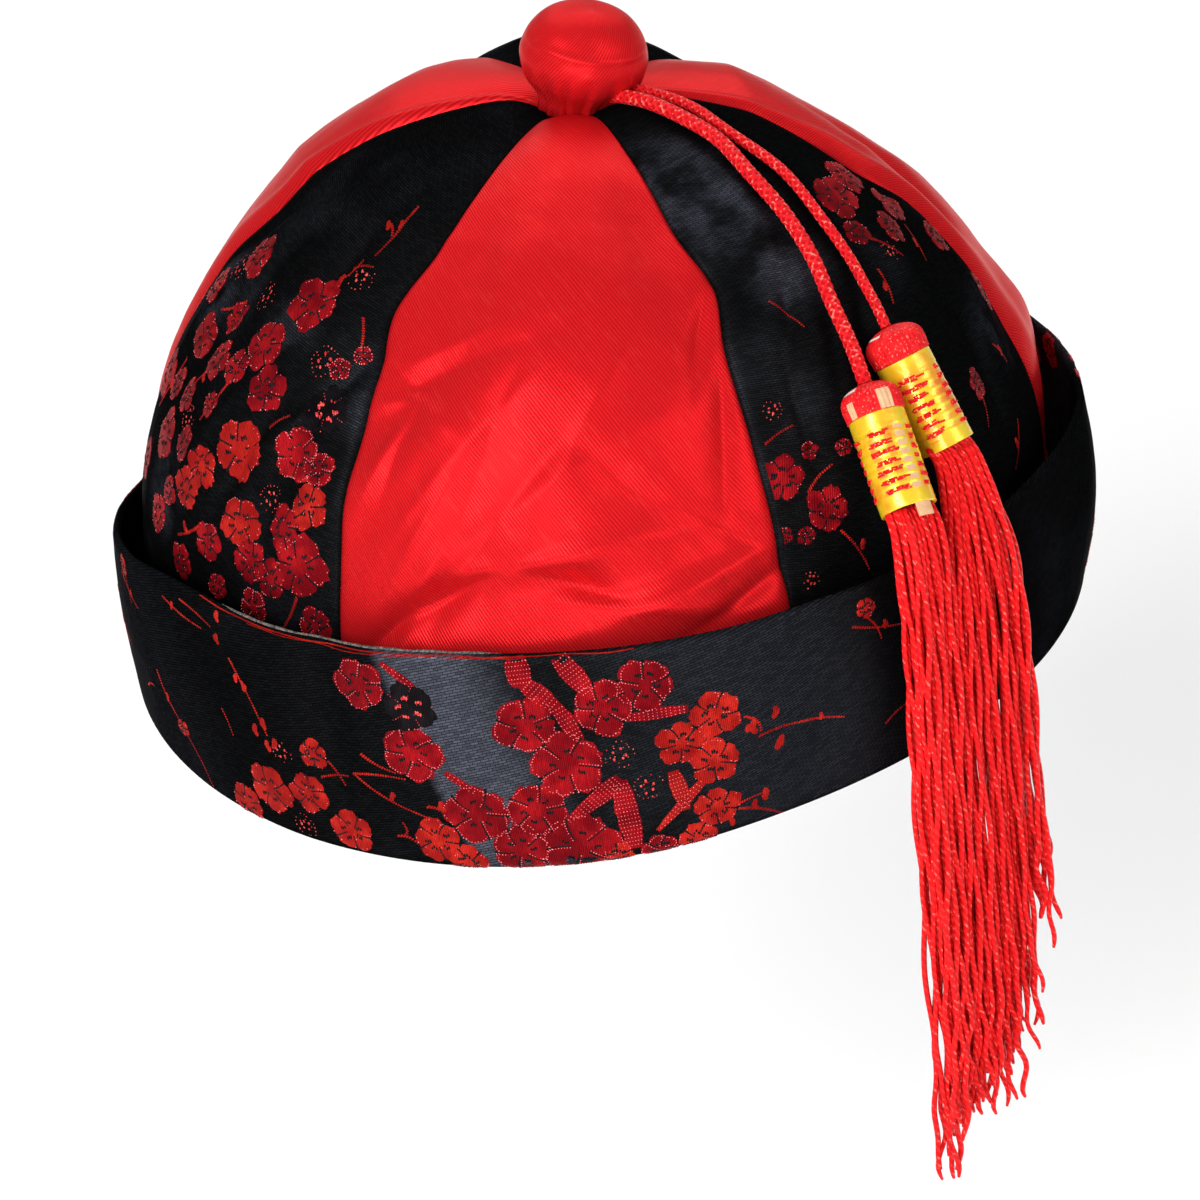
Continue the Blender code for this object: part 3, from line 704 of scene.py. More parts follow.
CUFF_TWIGS = (
    # from angle, height, to angle, height, bow, width
    (238.2, 15.6, 244.8, 16.4, 0.6, 0.60), (238.2, 15.6, 247.4, 7.6, -0.5, 0.60),
    (239.8, 20.4, 243.8, 17.6, -0.3, 0.70), (247.0, 10.6, 248.8, 9.4, 0.3, 0.90),
    (233.6, 13.2, 237.2, 14.6, 0.2, 0.60), (234.8, 16.8, 236.6, 12.4, 0.2, 0.60),
    (205.9, 21.3, 209.3, 11.6, -0.6, 0.65), (209.7, 10.2, 213.2, 0.4, 0.4, 0.55),
    (222.2, 33.5, 226.6, 19.5, 0.5, 0.65), (210.5, 40.1, 217.6, 37.4, -0.4, 0.60),
    (284.4, 19.9, 289.2, 20.2, 0.5, 0.65), (289.2, 20.2, 294.6, 18.0, 0.3, 0.60),
    (281.2, 5.2, 286.6, 1.4, 0.6, 0.70), (281.0, 5.9, 284.6, 7.4, 0.2, 0.60),
    (296.6, 35.7, 302.8, 32.6, -0.3, 0.55), (298.4, 36.6, 299.9, 31.6, 0.5, 0.55),
    (299.9, 13.4, 303.3, 16.1, 0.4, 0.50), (283.0, 24.6, 284.6, 21.0, 0.8, 0.80),
    (243.6, 6.2, 242.6, 3.2, 1.2, 0.80), (242.6, 3.2, 244.8, 2.0, 0.6, 0.80),
    (214.2, 41.6, 219.4, 38.8, 0.3, 0.60), (218.9, 20.8, 220.2, 16.0, 0.2, 0.50),
)
CUFF_BUDS = (
    # angle, height, radius
    (220.8, 41.7, 1.1), (220.2, 36.7, 1.0), (224.1, 28.6, 1.0), (224.9, 19.8, 1.2), (222.9, 29.8, 0.9),
    (283.5, 22.1, 1.3), (286.5, 24.0, 1.1), (286.6, 17.4, 1.3), (284.7, 6.9, 1.2), (283.2, 5.2, 1.0),
    (280.7, 2.6, 0.9), (248.6, 10.6, 1.2), (243.0, 12.2, 0.9), (212.3, 39.2, 0.8), (207.4, 16.4, 0.9),
    (300.6, 34.0, 0.8), (291.8, 19.8, 0.7), (226.2, 21.8, 1.1), (227.6, 18.0, 1.1), (226.4, 17.0, 1.1),
)
FRONT_GROUP = (204.0, 304.0)
CUFF_REPEATS = (
    # turn of the whole group, lowest and highest angle that it fills
    (100.0, 304.0, 404.0),
    (200.0, 404.0, 504.0),
    (-100.0, 144.0, 204.0),
)
BARE_CUFF = (304.0, 350.0)
RAW_EDGES = (
    # from angle, to angle, millimetres under the rim, radius
    (221.5, 257.5, -0.10, 0.34),
    (223.5, 255.0, 0.25, 0.30),
)
RIM_THREADS = (
    # from angle, to angle, millimetres under the rim, radius
    (218.0, 272.0, 0.42, 0.13),
    (226.0, 259.0, 0.72, 0.08),
)
RIM_STEPS = 60
RIM_SIDES = 8
RIM_WAVES = (9, 17, 31, 53)
RIM_LIFT = 0.10
RIM_WAVE_DRAW = (0.5, 1.0)
PHASE_DRAW = (0.0, 6.3)
EDGE_THREAD_SWAY = 0.08
RAW_SWAY = 0.06
RAW_FULLNESS = 6
RAW_END = 0.25
RAW_WAYS = (0.5, 0.5, 1.0)
RAW_ROUGHNESS = 0.00018
RIM_BLOSSOMS = (
    # angle, height, radius: on the cuff's inner face
    (12.0, 36.0, 3.4), (19.0, 31.0, 3.8), (27.0, 36.0, 3.6), (34.0, 30.0, 3.2),
    (158.0, 28.0, 3.2), (168.0, 30.0, 3.0),
)

# Woven plum blossom on a brocade gore: angles round the hat, and shares of the crown's profile
LEFT_MIDDLE = 203.3
RIGHT_MIDDLE = 323.3
LEFT_BLOSSOMS = (
    # angle, share, radius, style
    (194.1, 0.401, 3.8, "deep"), (204.8, 0.427, 2.6, "dots"), (217.1, 0.409, 4.4, "deep"),
    (222.6, 0.359, 2.6, "dots"), (212.3, 0.475, 4.1, "deep"), (202.6, 0.520, 3.4, "deep"),
    (206.9, 0.567, 2.2, "deep"), (216.7, 0.522, 3.7, "deep"), (201.9, 0.599, 2.3, "dots"),
    (225.2, 0.580, 4.4, "pink"), (215.2, 0.598, 4.8, "plain"), (209.5, 0.636, 3.4, "plain"),
    (206.9, 0.671, 3.4, "plain"), (217.9, 0.680, 4.1, "plain"), (229.4, 0.635, 3.7, "plain"),
    (229.1, 0.707, 5.1, "deep"), (224.6, 0.731, 3.3, "deep"), (231.5, 0.773, 3.1, "deep"),
    (214.9, 0.765, 2.2, "deep"), (228.1, 0.521, 4.0, "black"), (224.7, 0.467, 2.6, "dots"),
    (193.0, 0.520, 4.0, "deep"), (186.0, 0.470, 3.4, "deep"), (196.0, 0.640, 4.2, "deep"),
    (184.0, 0.600, 4.4, "deep"), (188.0, 0.700, 3.6, "deep"), (199.0, 0.730, 3.4, "deep"),
    (179.0, 0.520, 2.6, "dots"), (207.0, 0.760, 3.0, "deep"), (222.0, 0.640, 2.4, "dots"),
    (220.4, 0.720, 3.8, "deep"), (225.8, 0.668, 3.6, "deep"), (212.8, 0.716, 3.2, "deep"),
    (221.6, 0.772, 3.2, "pink"), (203.6, 0.628, 3.0, "deep"), (198.4, 0.580, 2.8, "deep"),
    (229.6, 0.590, 3.0, "pink"), (208.8, 0.515, 3.0, "deep"), (198.6, 0.474, 3.0, "deep"),
    (191.4, 0.590, 3.0, "deep"), (190.0, 0.430, 2.6, "dots"), (202.0, 0.690, 2.6, "deep"),
    (227.6, 0.470, 1.8, "pink"), (230.6, 0.448, 1.6, "pink"),
)
LEFT_TWIGS = (
    # from angle, share, to angle, share, bow, width
    (223.8, 0.255, 222.7, 0.329, 0.6, 0.60), (221.2, 0.288, 223.3, 0.300, 0.2, 0.70),
    (220.6, 0.340, 217.8, 0.372, 0.5, 0.60), (219.6, 0.352, 223.4, 0.344, 0.3, 0.70),
    (204.0, 0.500, 199.2, 0.560, 0.6, 0.80), (209.0, 0.530, 205.6, 0.590, 0.4, 0.80),
    (227.6, 0.405, 230.2, 0.450, 0.4, 0.70), (198.0, 0.452, 193.2, 0.480, 0.4, 0.80),
    (219.4, 0.560, 222.4, 0.540, 0.3, 0.80), (211.2, 0.700, 206.0, 0.730, 0.5, 0.80),
    (190.0, 0.560, 186.0, 0.640, 0.6, 0.80), (228.8, 0.745, 226.2, 0.790, 0.4, 0.70),
)
RIGHT_BLOSSOMS = (
    # angle, share, radius, style
    (328.1, 0.362, 4.6, "deep"), (343.3, 0.421, 4.2, "deep"), (324.7, 0.413, 2.6, "deep"),
    (328.5, 0.456, 1.9, "dots"), (295.9, 0.555, 1.8, "dots"), (294.5, 0.635, 3.6, "deep"),
    (299.3, 0.687, 3.6, "deep"), (299.3, 0.614, 1.5, "deep"), (295.7, 0.707, 1.5, "deep"),
    (303.9, 0.626, 1.5, "deep"), (292.9, 0.700, 1.4, "deep"), (295.2, 0.760, 1.5, "dots"),
    (330.8, 0.650, 2.6, "deep"), (337.4, 0.352, 4.0, "deep"), (334.6, 0.436, 3.2, "deep"),
    (348.4, 0.500, 3.4, "deep"), (350.6, 0.600, 3.6, "deep"),
)
RIGHT_TWIGS = (
    # from angle, share, to angle, share, bow, width
    (322.9, 0.464, 321.6, 0.506, 0.4, 0.60), (302.1, 0.431, 305.5, 0.476, 0.6, 0.45),
    (340.6, 0.640, 342.4, 0.672, 0.3, 0.60), (338.2, 0.732, 333.9, 0.775, 0.5, 0.55),
    (330.8, 0.660, 329.0, 0.700, 0.4, 0.60), (326.6, 0.430, 330.6, 0.470, 0.5, 0.70),
    (297.4, 0.660, 301.6, 0.640, 0.4, 0.70), (300.4, 0.716, 303.0, 0.770, 0.5, 0.60),
    (341.0, 0.452, 338.6, 0.500, 0.5, 0.70), (293.6, 0.590, 298.0, 0.580, 0.3, 0.50),
)
GORE_BUDS = (
    # middle of the gore, angle, share, radius
    (203.3, 220.8, 0.290, 0.9), (203.3, 223.6, 0.284, 0.8), (203.3, 218.4, 0.368, 0.9),
    (203.3, 201.2, 0.548, 1.1), (203.3, 207.6, 0.716, 1.1), (203.3, 188.4, 0.598, 1.2),
    (323.3, 322.0, 0.484, 0.9), (323.3, 341.8, 0.654, 1.0), (323.3, 336.0, 0.752, 0.9),
    (323.3, 302.8, 0.740, 0.9), (323.3, 339.8, 0.476, 1.0),
)
BACK_TURN = -120.0
GORE_TILT = {"gore_brocade_left": 28.0, "gore_brocade_right": -18.0, "gore_brocade_back": 20.0}
EDGE_ROOM = 0.0005
RIM_ROOM = 0.0001
GORE_EDGE_ROOM = 0.9
LEAST_RADIUS = 0.02
PROBE_REACH = 0.02

# Studio
FLOOR_REACH = 4.0
FLOOR_ROUGHNESS = 0.9
FLOOR_DEEP = (0.96, 0.96, 0.96)
FLOOR_LIGHT = (0.98, 0.98, 0.98)
WORLD_STRENGTH = 0.42
LIGHTS = (
    # name, place, target, size, power
    ("key", (-0.9, -1.25, 1.05), (0.0, 0.0, 0.05), (0.7, 0.7), 21.0),
    ("fill", (1.4, -0.9, 0.8), (0.0, 0.0, 0.04), (0.8, 0.8), 7.0),
    ("front", (-0.30, -1.5, 0.22), (0.0, 0.0, 0.02), (0.30, 0.8), 9.0),
    ("back", (0.2, 1.5, 1.6), (0.0, 0.0, 0.0), (2.4, 1.8), 26.0),
)


def rise(value, low, high):
    """0 below low and 1 above high, straight between."""
    return np.clip((value - low) / (high - low), 0.0, 1.0)


def from_table(angle, rows, column):
    """A column of a table keyed by angle, read all round as a smooth closed curve through its rows."""
    keys = np.array([row[0] for row in rows])
    values = np.array([row[column] for row in rows])
    angle = np.mod(angle, 360.0)
    before = np.searchsorted(keys, angle, side="right") - 1
    p0, p1, p2, p3 = (values[(before + step) % len(keys)] for step in (-1, 0, 1, 2))
    start = keys[before % len(keys)]
    s = np.mod(angle - start, 360.0) / np.mod(keys[(before + 1) % len(keys)] - start, 360.0)
    slope_in = (p2 - p0) / 2
    slope_out = (p3 - p1) / 2
    bend = 3 * (p2 - p1) - 2 * slope_in - slope_out
    return p1 + slope_in * s + bend * s**2 + (2 * (p1 - p2) + slope_in + slope_out) * s**3


def run_along(points):
    """The way along a line of points, from 0 at its start."""
    return np.concatenate([[0.0], np.cumsum(np.linalg.norm(np.diff(points, axis=0), axis=1))])


def smooth_route(points, count):
    """Points evenly spaced on a smooth curve through the given ones."""
    points = [Vector(point) for point in points]
    padded = [2 * points[0] - points[1], *points, 2 * points[-1] - points[-2]]
    fine = []
    for p0, p1, p2, p3 in zip(padded, padded[1:], padded[2:], padded[3:]):
        for step in range(ROUTE_STEPS):
            s = step / ROUTE_STEPS
            bend = (2 * p0 - 5 * p1 + 4 * p2 - p3) * s**2 + (3 * p1 - p0 - 3 * p2 + p3) * s**3
            fine.append((2 * p1 + (p2 - p0) * s + bend) / 2)
    fine = np.array([*fine, points[-1]])
    run = run_along(fine)
    at = run[-1] * np.linspace(0.0, 1.0, count)
    return np.stack([np.interp(at, run, fine[:, axis]) for axis in range(3)], axis=1)


def heading(angle):
    """The level direction at this angle."""
    return np.array([math.cos(math.radians(angle)), math.sin(math.radians(angle)), 0.0])


def unit(rows):
    """These directions, each at length 1."""
    return rows / np.linalg.norm(rows, axis=-1)[..., None]


def crown_profile(t, angle):
    """Radius and height of the plain crown, with t from 0 at the apex to 1 at the hem."""
    turn = rise(t, 0.0, DOME_SHARE) * math.pi / 2
    down = rise(t, DOME_SHARE, 1.0)
    power = 2 / CROWN_ROUNDNESS
    hem = from_table(angle, CUFF_EDGES, FOLD_COLUMN) + FOLD_LIFT + CUFF_CLOTH / 2 + HEM_CLEARANCE
    radius = CROWN_RADIUS * np.sin(turn) ** power + (HEM_RADIUS - CROWN_RADIUS) * down
    height = WALL_TOP + CROWN_RISE * np.cos(turn).clip(0.0) ** power + (hem - WALL_TOP) * down
    return radius, height - PINCH_DEPTH * np.exp(-((radius / PINCH_RADIUS) ** 2))


def crown_place(radius, height, angle):
    """The point at this radius, height and angle on the crown, whose top leans to the right."""
    lean = APEX_LEAN * ((height - WALL_TOP) / CROWN_RISE).clip(0.0) ** 3
    turn = np.radians(angle)
    return np.stack([radius * np.cos(turn) + lean, radius * np.sin(turn), height], axis=-1)


def dome_spot(angle, height):
    """The point at this angle and height on the plain dome."""
    cosine = ((height - WALL_TOP) / CROWN_RISE) ** (CROWN_ROUNDNESS / 2)
    t = np.array([DOME_SHARE * math.acos(cosine) * 2 / math.pi])
    return crown_place(*crown_profile(t, np.array([angle])), angle)[0]


def press_table(points, rows, edge=2.0):
    """How far these folds and dents press the crown inwards at these points."""
    depth = np.zeros(len(points))
    for angle, height, turn, half_length, half_width, press in rows:
        middle = dome_spot(angle, height)
        level = heading(angle + 90.0)
        out = unit(middle)
        along = math.cos(math.radians(turn)) * level + math.sin(math.radians(turn)) * np.cross(out, level)
        offset = points - middle
        spread = (offset @ along / half_length) ** 2
        spread += np.abs(offset @ np.cross(out, along) / half_width) ** edge
        depth += press * np.exp(-spread) * (points @ out > 0.0)
    return depth


def ripple(points, coarse, fine):
    """Small uneven waves of cloth, the same in every run."""
    waves = []
    for point in points:
        at = Vector(point)
        waves.append(coarse * noise.noise(at * COARSE_SCALE) + fine * noise.noise(at * FINE_SCALE))
    return np.array(waves)


def red_half_width(t):
    """Half the angle that a red gore spans: it is narrow at the top and widens at its shoulders."""
    widening = SHOULDER_WIDENING * np.exp(-(((t - SHOULDER_PLACE) / SHOULDER_SPREAD) ** 2))
    return RED_HALF_WIDTH - TOP_NARROWING * (1 - rise(t, 0.0, SHOULDER_PLACE)) + widening


def gore_angle(step, t, across):
    """The angle at a share across the gore that lies this many steps from the front one."""
    middle = FRONT_ANGLE + GORE_STEP * step
    half = red_half_width(t) if step % 2 == 0 else GORE_STEP - red_half_width(t)
    return middle + (2 * across - 1) * (half + np.degrees(SEAM_LAP / 2 / crown_profile(t, middle)[0]))


def crown_points(step, t, across):
    """Points on the outside of a gore, and the directions out of it."""
    angle = gore_angle(step, t, across)
    plain = crown_place(*crown_profile(t, angle), angle)
    higher = crown_place(*crown_profile(t - NUDGE, angle), angle)
    level = np.stack([-np.sin(np.radians(angle)), np.cos(np.radians(angle)), 0.0 * angle], axis=-1)
    out = unit(np.cross(plain - higher, level))
    swell = (PUFF * np.sin(np.pi * across) - SEAM_DIP) * np.sin(np.pi * np.clip(t, 0.0, 1.0) ** PUFF_PLACE)
    roll = SEAM_ROLL * (1 - rise(np.minimum(across, 1 - across), 0.0, SEAM_ROLL_WIDTH)) ** 2
    lift = swell - press_table(plain, CREASES) - roll
    if step in RIDGED_EDGES:
        beside = (np.abs(across - RIDGED_EDGES[step]) - EDGE_RIDGE_PLACE) / EDGE_RIDGE_WIDTH
        lift += EDGE_RIDGE * np.exp(-(beside**2)) * rise(1 - t, 0.0, RIDGE_FADE) * rise(t, 0.0, RIDGE_RISE)
    fade = rise(1 - t, 0.0, WRINKLE_HEM) * rise(t, 0.0, WRINKLE_TOP)
    lift -= press_table(plain, WRINKLES, WRINKLE_EDGE) * fade * WRINKLE_SHARE
    lift += ripple(plain, COARSE_RIPPLE, FINE_RIPPLE) * fade
    return plain + out * lift[:, None], out


def cuff_press(angle, up):
    """How far the cuff's wall is dented in at this angle and share of its height."""
    depth = 0.0 * angle
    for middle, height, half_width, half_height, press in CUFF_DENTS:
        aside = (np.mod(angle - middle + 180.0, 360.0) - 180.0) / half_width
        depth = depth + press * np.exp(-(aside**2) - ((up - height) / half_height) ** 2)
    return depth * min(1.0, up * DENT_START)


def cuff_line(angle):
    """The middle of the cuff's cloth from inside the fold out to the rim, as rows of radius and height."""
    rim_radius, rim_height, fold, belly = (from_table(angle, CUFF_EDGES, column) for column in (1, 2, 3, 4))
    rim_radius = rim_radius - CUFF_CLOTH / 2
    fold = fold + FOLD_LIFT
    middle = HEM_RADIUS - CROWN_CLOTH / 2
    rows = []
    for down in np.arange(CUFF_HEM_ROWS) / CUFF_HEM_ROWS:
        radius = middle - FOLD_RADIUS - HEM_LEAN * (1 - down)
        rows.append((radius + 0 * fold, fold + INNER_HEM + (FOLD_RADIUS - INNER_HEM) * down))
    for turn in math.pi * (1 + np.arange(CUFF_FOLD_ROWS + 1) / CUFF_FOLD_ROWS):
        radius = middle + FOLD_RADIUS * math.cos(turn)
        rows.append((radius + 0 * fold, fold + FOLD_RADIUS * (1 + math.sin(turn))))
    foot_radius, foot_height = rows[-1]
    for up in np.arange(1, CUFF_WALL_ROWS + 1) / CUFF_WALL_ROWS:
        swell = belly * math.sin(math.pi * up) - cuff_press(angle, up)
        radius = foot_radius + (rim_radius - foot_radius) * up + swell
        rows.append((radius, foot_height + (rim_height - foot_height) * up))
    return rows


def make_piece(name, points, faces, finishes, slot=None, nodes=(), uv=None, kinds=None, smooth=True):
    """A piece of these points and faces. With a slot it rides on the hat, and the solids of its nodes are
    hidden.
    """
    mesh = bpy.data.meshes.new(name)
    mesh.from_pydata([tuple(point) for point in points], [], faces)
    for finish in finishes:
        mesh.materials.append(finish)
    if kinds is not None:
        mesh.polygons.foreach_set("material_index", kinds)
    if smooth:
        mesh.shade_smooth()
    if uv is not None:
        corner = np.zeros(len(mesh.loops), np.int32)
        mesh.loops.foreach_get("vertex_index", corner)
        layer = mesh.uv_layers.new(name="cloth")
        layer.data.foreach_set("uv", np.asarray(uv, np.float32)[corner].ravel())
    mesh.update()
    piece = bpy.data.objects.new(name, mesh)
    bpy.context.scene.collection.objects.link(piece)
    if slot:
        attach(piece, "root")
    if nodes:
        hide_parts(*nodes)
    return piece


def grid_faces(rows, columns, closed=False):
    """Quads over rows of points, each with this many columns, which run on round to the first if closed."""
    faces = []
    for low in range(0, (rows - 1) * columns, columns):
        for column in range(columns if closed else columns - 1):
            after = (column + 1) % columns
            faces.append((low + column, low + after, low + columns + after, low + columns + column))
    return faces


def tube(path, radius, sides, relief=None):
    """A closed tube along the path: its points, faces, and places as turns round it and millimetres along it.
    relief(turn, run) gives a factor on its radius."""
    path = np.asarray(path, float)
    count = len(path)
    tangent = unit(np.gradient(path, axis=0))
    side = np.cross(tangent[0], TUBE_START)
    run = run_along(path)
    radius = np.broadcast_to(np.asarray(radius, float), (count,))
    turn = np.linspace(0.0, 2 * np.pi, sides + 1)
    points = []
    for index in range(count):
        side = unit(side - tangent[index] * (side @ tangent[index]))
        other = np.cross(tangent[index], side)
        factor = relief(turn, run[index]) if relief else 1.0
        ring = np.cos(turn)[:, None] * side + np.sin(turn)[:, None] * other
        points.append(path[index] + ring * (radius[index] * factor * np.ones(sides + 1))[:, None])
    columns = sides + 1
    last = (count - 1) * columns
    faces = [*grid_faces(count, columns), tuple(range(sides))[::-1], tuple(range(last, last + sides))]
    uv = np.stack([np.tile(turn / (2 * np.pi), count), np.repeat(run / MM, columns)], axis=1)
    return np.concatenate(points), faces, uv


def join_parts(parts):
    """One list of points, one of faces and one of cloth places from several."""
    points, faces, uv = [], [], []
    for more_points, more_faces, more_uv in parts:
        base = len(points)
        points.extend(more_points)
        faces.extend(tuple(base + index for index in face) for face in more_faces)
        uv.extend(more_uv)
    return points, faces, uv


def turned(profile, sides, place, shape):
    """Points, faces and cloth places of a turned piece. shape(radius, height, turn) gives a ring's radii."""
    turn = np.arange(sides) * 2 * np.pi / sides
    widest = max(radius for radius, _ in profile)
    points, uv = [], []
    for (radius, height), run in zip(profile, run_along(profile)):
        radii = shape(radius, height, turn)
        ring = np.stack([radii * np.cos(turn), radii * np.sin(turn), height + 0 * turn, 1 + 0 * turn], axis=1)
        points.append((ring @ np.array(place).T)[:, :3])
        uv.append(np.stack([turn * widest / MM, run / MM + 0 * turn], axis=1))
    faces = [face[::-1] for face in grid_faces(len(profile), sides, closed=True)]
    end = (len(profile) - 1) * sides
    faces += [tuple(range(sides)), tuple(range(end, end + sides))[::-1]]
    return np.concatenate(points), faces, np.concatenate(uv)


class Finish:
    """A Principled material and the nodes that feed it."""

    def __init__(self, name, roughness, metallic=0.0, gloss=PLAIN_GLOSS, tint=WHITE):
        self.material = bpy.data.materials.new(name)
        self.material.use_nodes = True
        self.tree = self.material.node_tree
        self.shader = self.tree.nodes["Principled BSDF"]
        self.feed(self.shader, {"Roughness": roughness, "Metallic": metallic})
        self.feed(self.shader, {"Specular IOR Level": gloss, "Specular Tint": tint})

    def feed(self, node, values):
        """Sets a node's sockets to plain values, or links them to other nodes' outputs."""
        for key, value in values.items():
            socket = node.inputs[key]
            if isinstance(value, bpy.types.NodeSocket):
                self.tree.links.new(value, socket)
            else:
                socket.default_value = (*value, 1.0) if socket.type == "RGBA" else value

    def node(self, kind, output, values, **settings):
        """Adds a node of this kind, with its sockets' values and its own settings, and gives its output."""
        node = self.tree.nodes.new(f"ShaderNode{kind}")
        for key, value in settings.items():
            setattr(node, key, value)
        self.feed(node, values)
        return node.outputs[output]

    def mix(self, share, first, second):
        values = {"Factor": share, MIX_FIRST: first, MIX_SECOND: second}
        return self.node("Mix", MIX_RESULT, values, data_type="RGBA")

    def math(self, operation, first, second=0.0):
        return self.node("Math", 0, {0: first, 1: second}, operation=operation)

    def times(self, first, second):
        return self.math("MULTIPLY", first, second)

    def ramp(self, value, low, high):
        """0 below low and 1 above high, smoothly between."""
        values = {"Value": value, "From Min": low, "From Max": high}
        return self.node("MapRange", "Result", values, interpolation_type="SMOOTHSTEP")

    def spot(self):
        """The place on the hat, in metres."""
        return self.node("TexCoord", "Object", {})

    def cloth(self, turn=0.0, stretch=(1.0, 1.0, 1.0)):
        """The cloth's own place in millimetres, turned and stretched."""
        where = self.node("UVMap", "UV", {}, uv_map="cloth")
        values = {"Rotation": (0.0, 0.0, math.radians(turn)), "Scale": stretch, "Vector": where}
        return self.node("Mapping", "Vector", values, vector_type="TEXTURE")

    def waves(self, place, period, distortion, detail_scale):
        """Bands across X of this period."""
        values = {"Scale": WAVE_SCALE / period, "Distortion": distortion, "Detail Scale": detail_scale}
        return self.node("TexWave", "Fac", {**values, "Vector": place}, bands_direction="X")

    def noise(self, scale, detail=2.0, roughness=0.5, place=None):
        values = {"Scale": scale, "Detail": detail, "Roughness": roughness}
        return self.node("TexNoise", "Fac", {**values, "Vector": self.spot() if place is None else place})

    def done(self, colour, height=None, bump=(0.0, 0.0)):
        """The material, with this colour and a relief of this height, strength and depth."""
        self.feed(self.shader, {"Base Color": colour})
        if height is not None:
            normal = self.node("Bump", "Normal", {"Strength": bump[0], "Distance": bump[1], "Height": height})
            self.feed(self.shader, {"Normal": normal})
        return self.material


def red_satin():
    finish = Finish("red_satin_weave", SATIN_ROUGHNESS, SATIN_METAL, SATIN_GLOSS, SATIN_TINT)
    twill = finish.waves(finish.cloth(TWILL_TURN), TWILL_PERIOD, *TWILL_UNEVEN)
    yarn_and_sheen = finish.noise(YARN_SCALE, YARN_DETAIL, place=finish.cloth(TWILL_TURN, YARN_STRETCH))
    weave = finish.mix(finish.ramp(twill, *TWILL_RAMP), RED_DEEP, RED_BRIGHT)
    # Painted sheen: salmon streaks along the yarn's noise, which also gives the relief
    painted_sheen_streaks = finish.times(finish.ramp(yarn_and_sheen, *SHEEN_STREAK_RAMP), SHEEN_STREAK_SHARE)
    height = finish.math("ADD", twill, finish.times(yarn_and_sheen, YARN_HEIGHT))
    return finish.done(finish.mix(painted_sheen_streaks, weave, PAINTED_SATIN_SHEEN), height, WEAVE_BUMP)


def black_brocade(name, painted_sheen_zones, painted_sheen_clouds, painted_gleams=()):
    """Black satin ground with a painted sheen: slate colour painted into its stitches in zones, which are
    angles round it, in painted gleams and in cloudy patches.
    """
    finish = Finish(name, BROCADE_ROUGHNESS, BROCADE_METAL, 0.0, BROCADE_EDGE)
    bricks = {
        "Color1": WHITE, "Color2": STITCH_GREY, "Mortar": BLACK, "Scale": 1.0, "Mortar Size": STITCH_GAP,
        "Mortar Smooth": STITCH_SOFTNESS, "Brick Width": STITCH_LENGTH, "Row Height": STITCH_HEIGHT,
        "Vector": finish.cloth(STITCH_TURN),
    }
    stitch = finish.node("TexBrick", "Color", bricks)
    painted_sheen_mask = finish.times(finish.ramp(finish.noise(SHEEN_CLOUD_SCALE), *SHEEN_CLOUD_RAMP), painted_sheen_clouds)
    gleam_breakup = finish.ramp(finish.noise(GLEAM_BREAKUP_SCALE), *GLEAM_BREAKUP_RAMP)
    height = finish.node("SeparateXYZ", "Z", {"Vector": finish.spot()})
    turn = finish.node("TexGradient", "Fac", {"Vector": finish.spot()}, gradient_type="RADIAL")
    share = finish.math("ADD", turn, finish.times(height, ZONE_LEAN))
    for angle, level, reach, strength in painted_gleams:
        ends = {0: finish.spot(), 1: tuple(dome_spot(angle, level))}
        apart = finish.node("VectorMath", "Value", ends, operation="DISTANCE")
        near = finish.math("SUBTRACT", 1.0, finish.ramp(apart, reach * GLEAM_HEART, reach))
        painted_sheen_mask = finish.math("MAXIMUM", painted_sheen_mask, finish.times(finish.times(near, gleam_breakup), strength))
    for *angles, strength in painted_sheen_zones:
        start, full, until, end = (((angle + 180.0) % 360.0) / 360.0 for angle in angles)
        zone = finish.math("SUBTRACT", finish.ramp(share, start, full), finish.ramp(share, until, end))
        painted_sheen_mask = finish.math("MAXIMUM", painted_sheen_mask, finish.times(zone, strength))
    ground = finish.mix(stitch, BLACK_DEEP, BLACK_LIGHT)
    # The painted sheen: slate colour mixed into the ground by the mask
    painted_light_colour = finish.mix(stitch, PAINTED_SHEEN_DEEP, PAINTED_SHEEN_LIGHT)
    return finish.done(finish.mix(painted_sheen_mask, ground, painted_light_colour), stitch, WEAVE_BUMP)


def floss(name, roughness, deep, light):
    """Long stitches that run down the cloth, with a gloss and a painted sheen."""
    finish = Finish(name, roughness, FLOSS_METAL, FLOSS_GLOSS, SATIN_TINT)
    thread = finish.waves(finish.cloth(), FLOSS_PERIOD, *FLOSS_UNEVEN)
    run = finish.noise(*FLOSS_RUN, place=finish.cloth(0.0, FLOSS_STRETCH))
    patches = finish.ramp(finish.noise(FLOSS_PATCHES, 1.0), *PATCH_RAMP)
    shade = finish.ramp(finish.noise(FLOSS_CLOUDS, 1.0), *SHADE_RAMP)
    even = finish.math("ADD", finish.times(shade, 1 - FLOSS_SHADE), FLOSS_SHADE)
    # Painted sheen: the floats run from the deep to the light colour along their stripes and noise patches,
    # dimmed in cloudy patches
    sheen = finish.times(finish.times(finish.math("ADD", thread, patches), run), even)
    return finish.done(finish.mix(sheen, deep, light), finish.math("ADD", thread, run), FLOSS_BUMP)


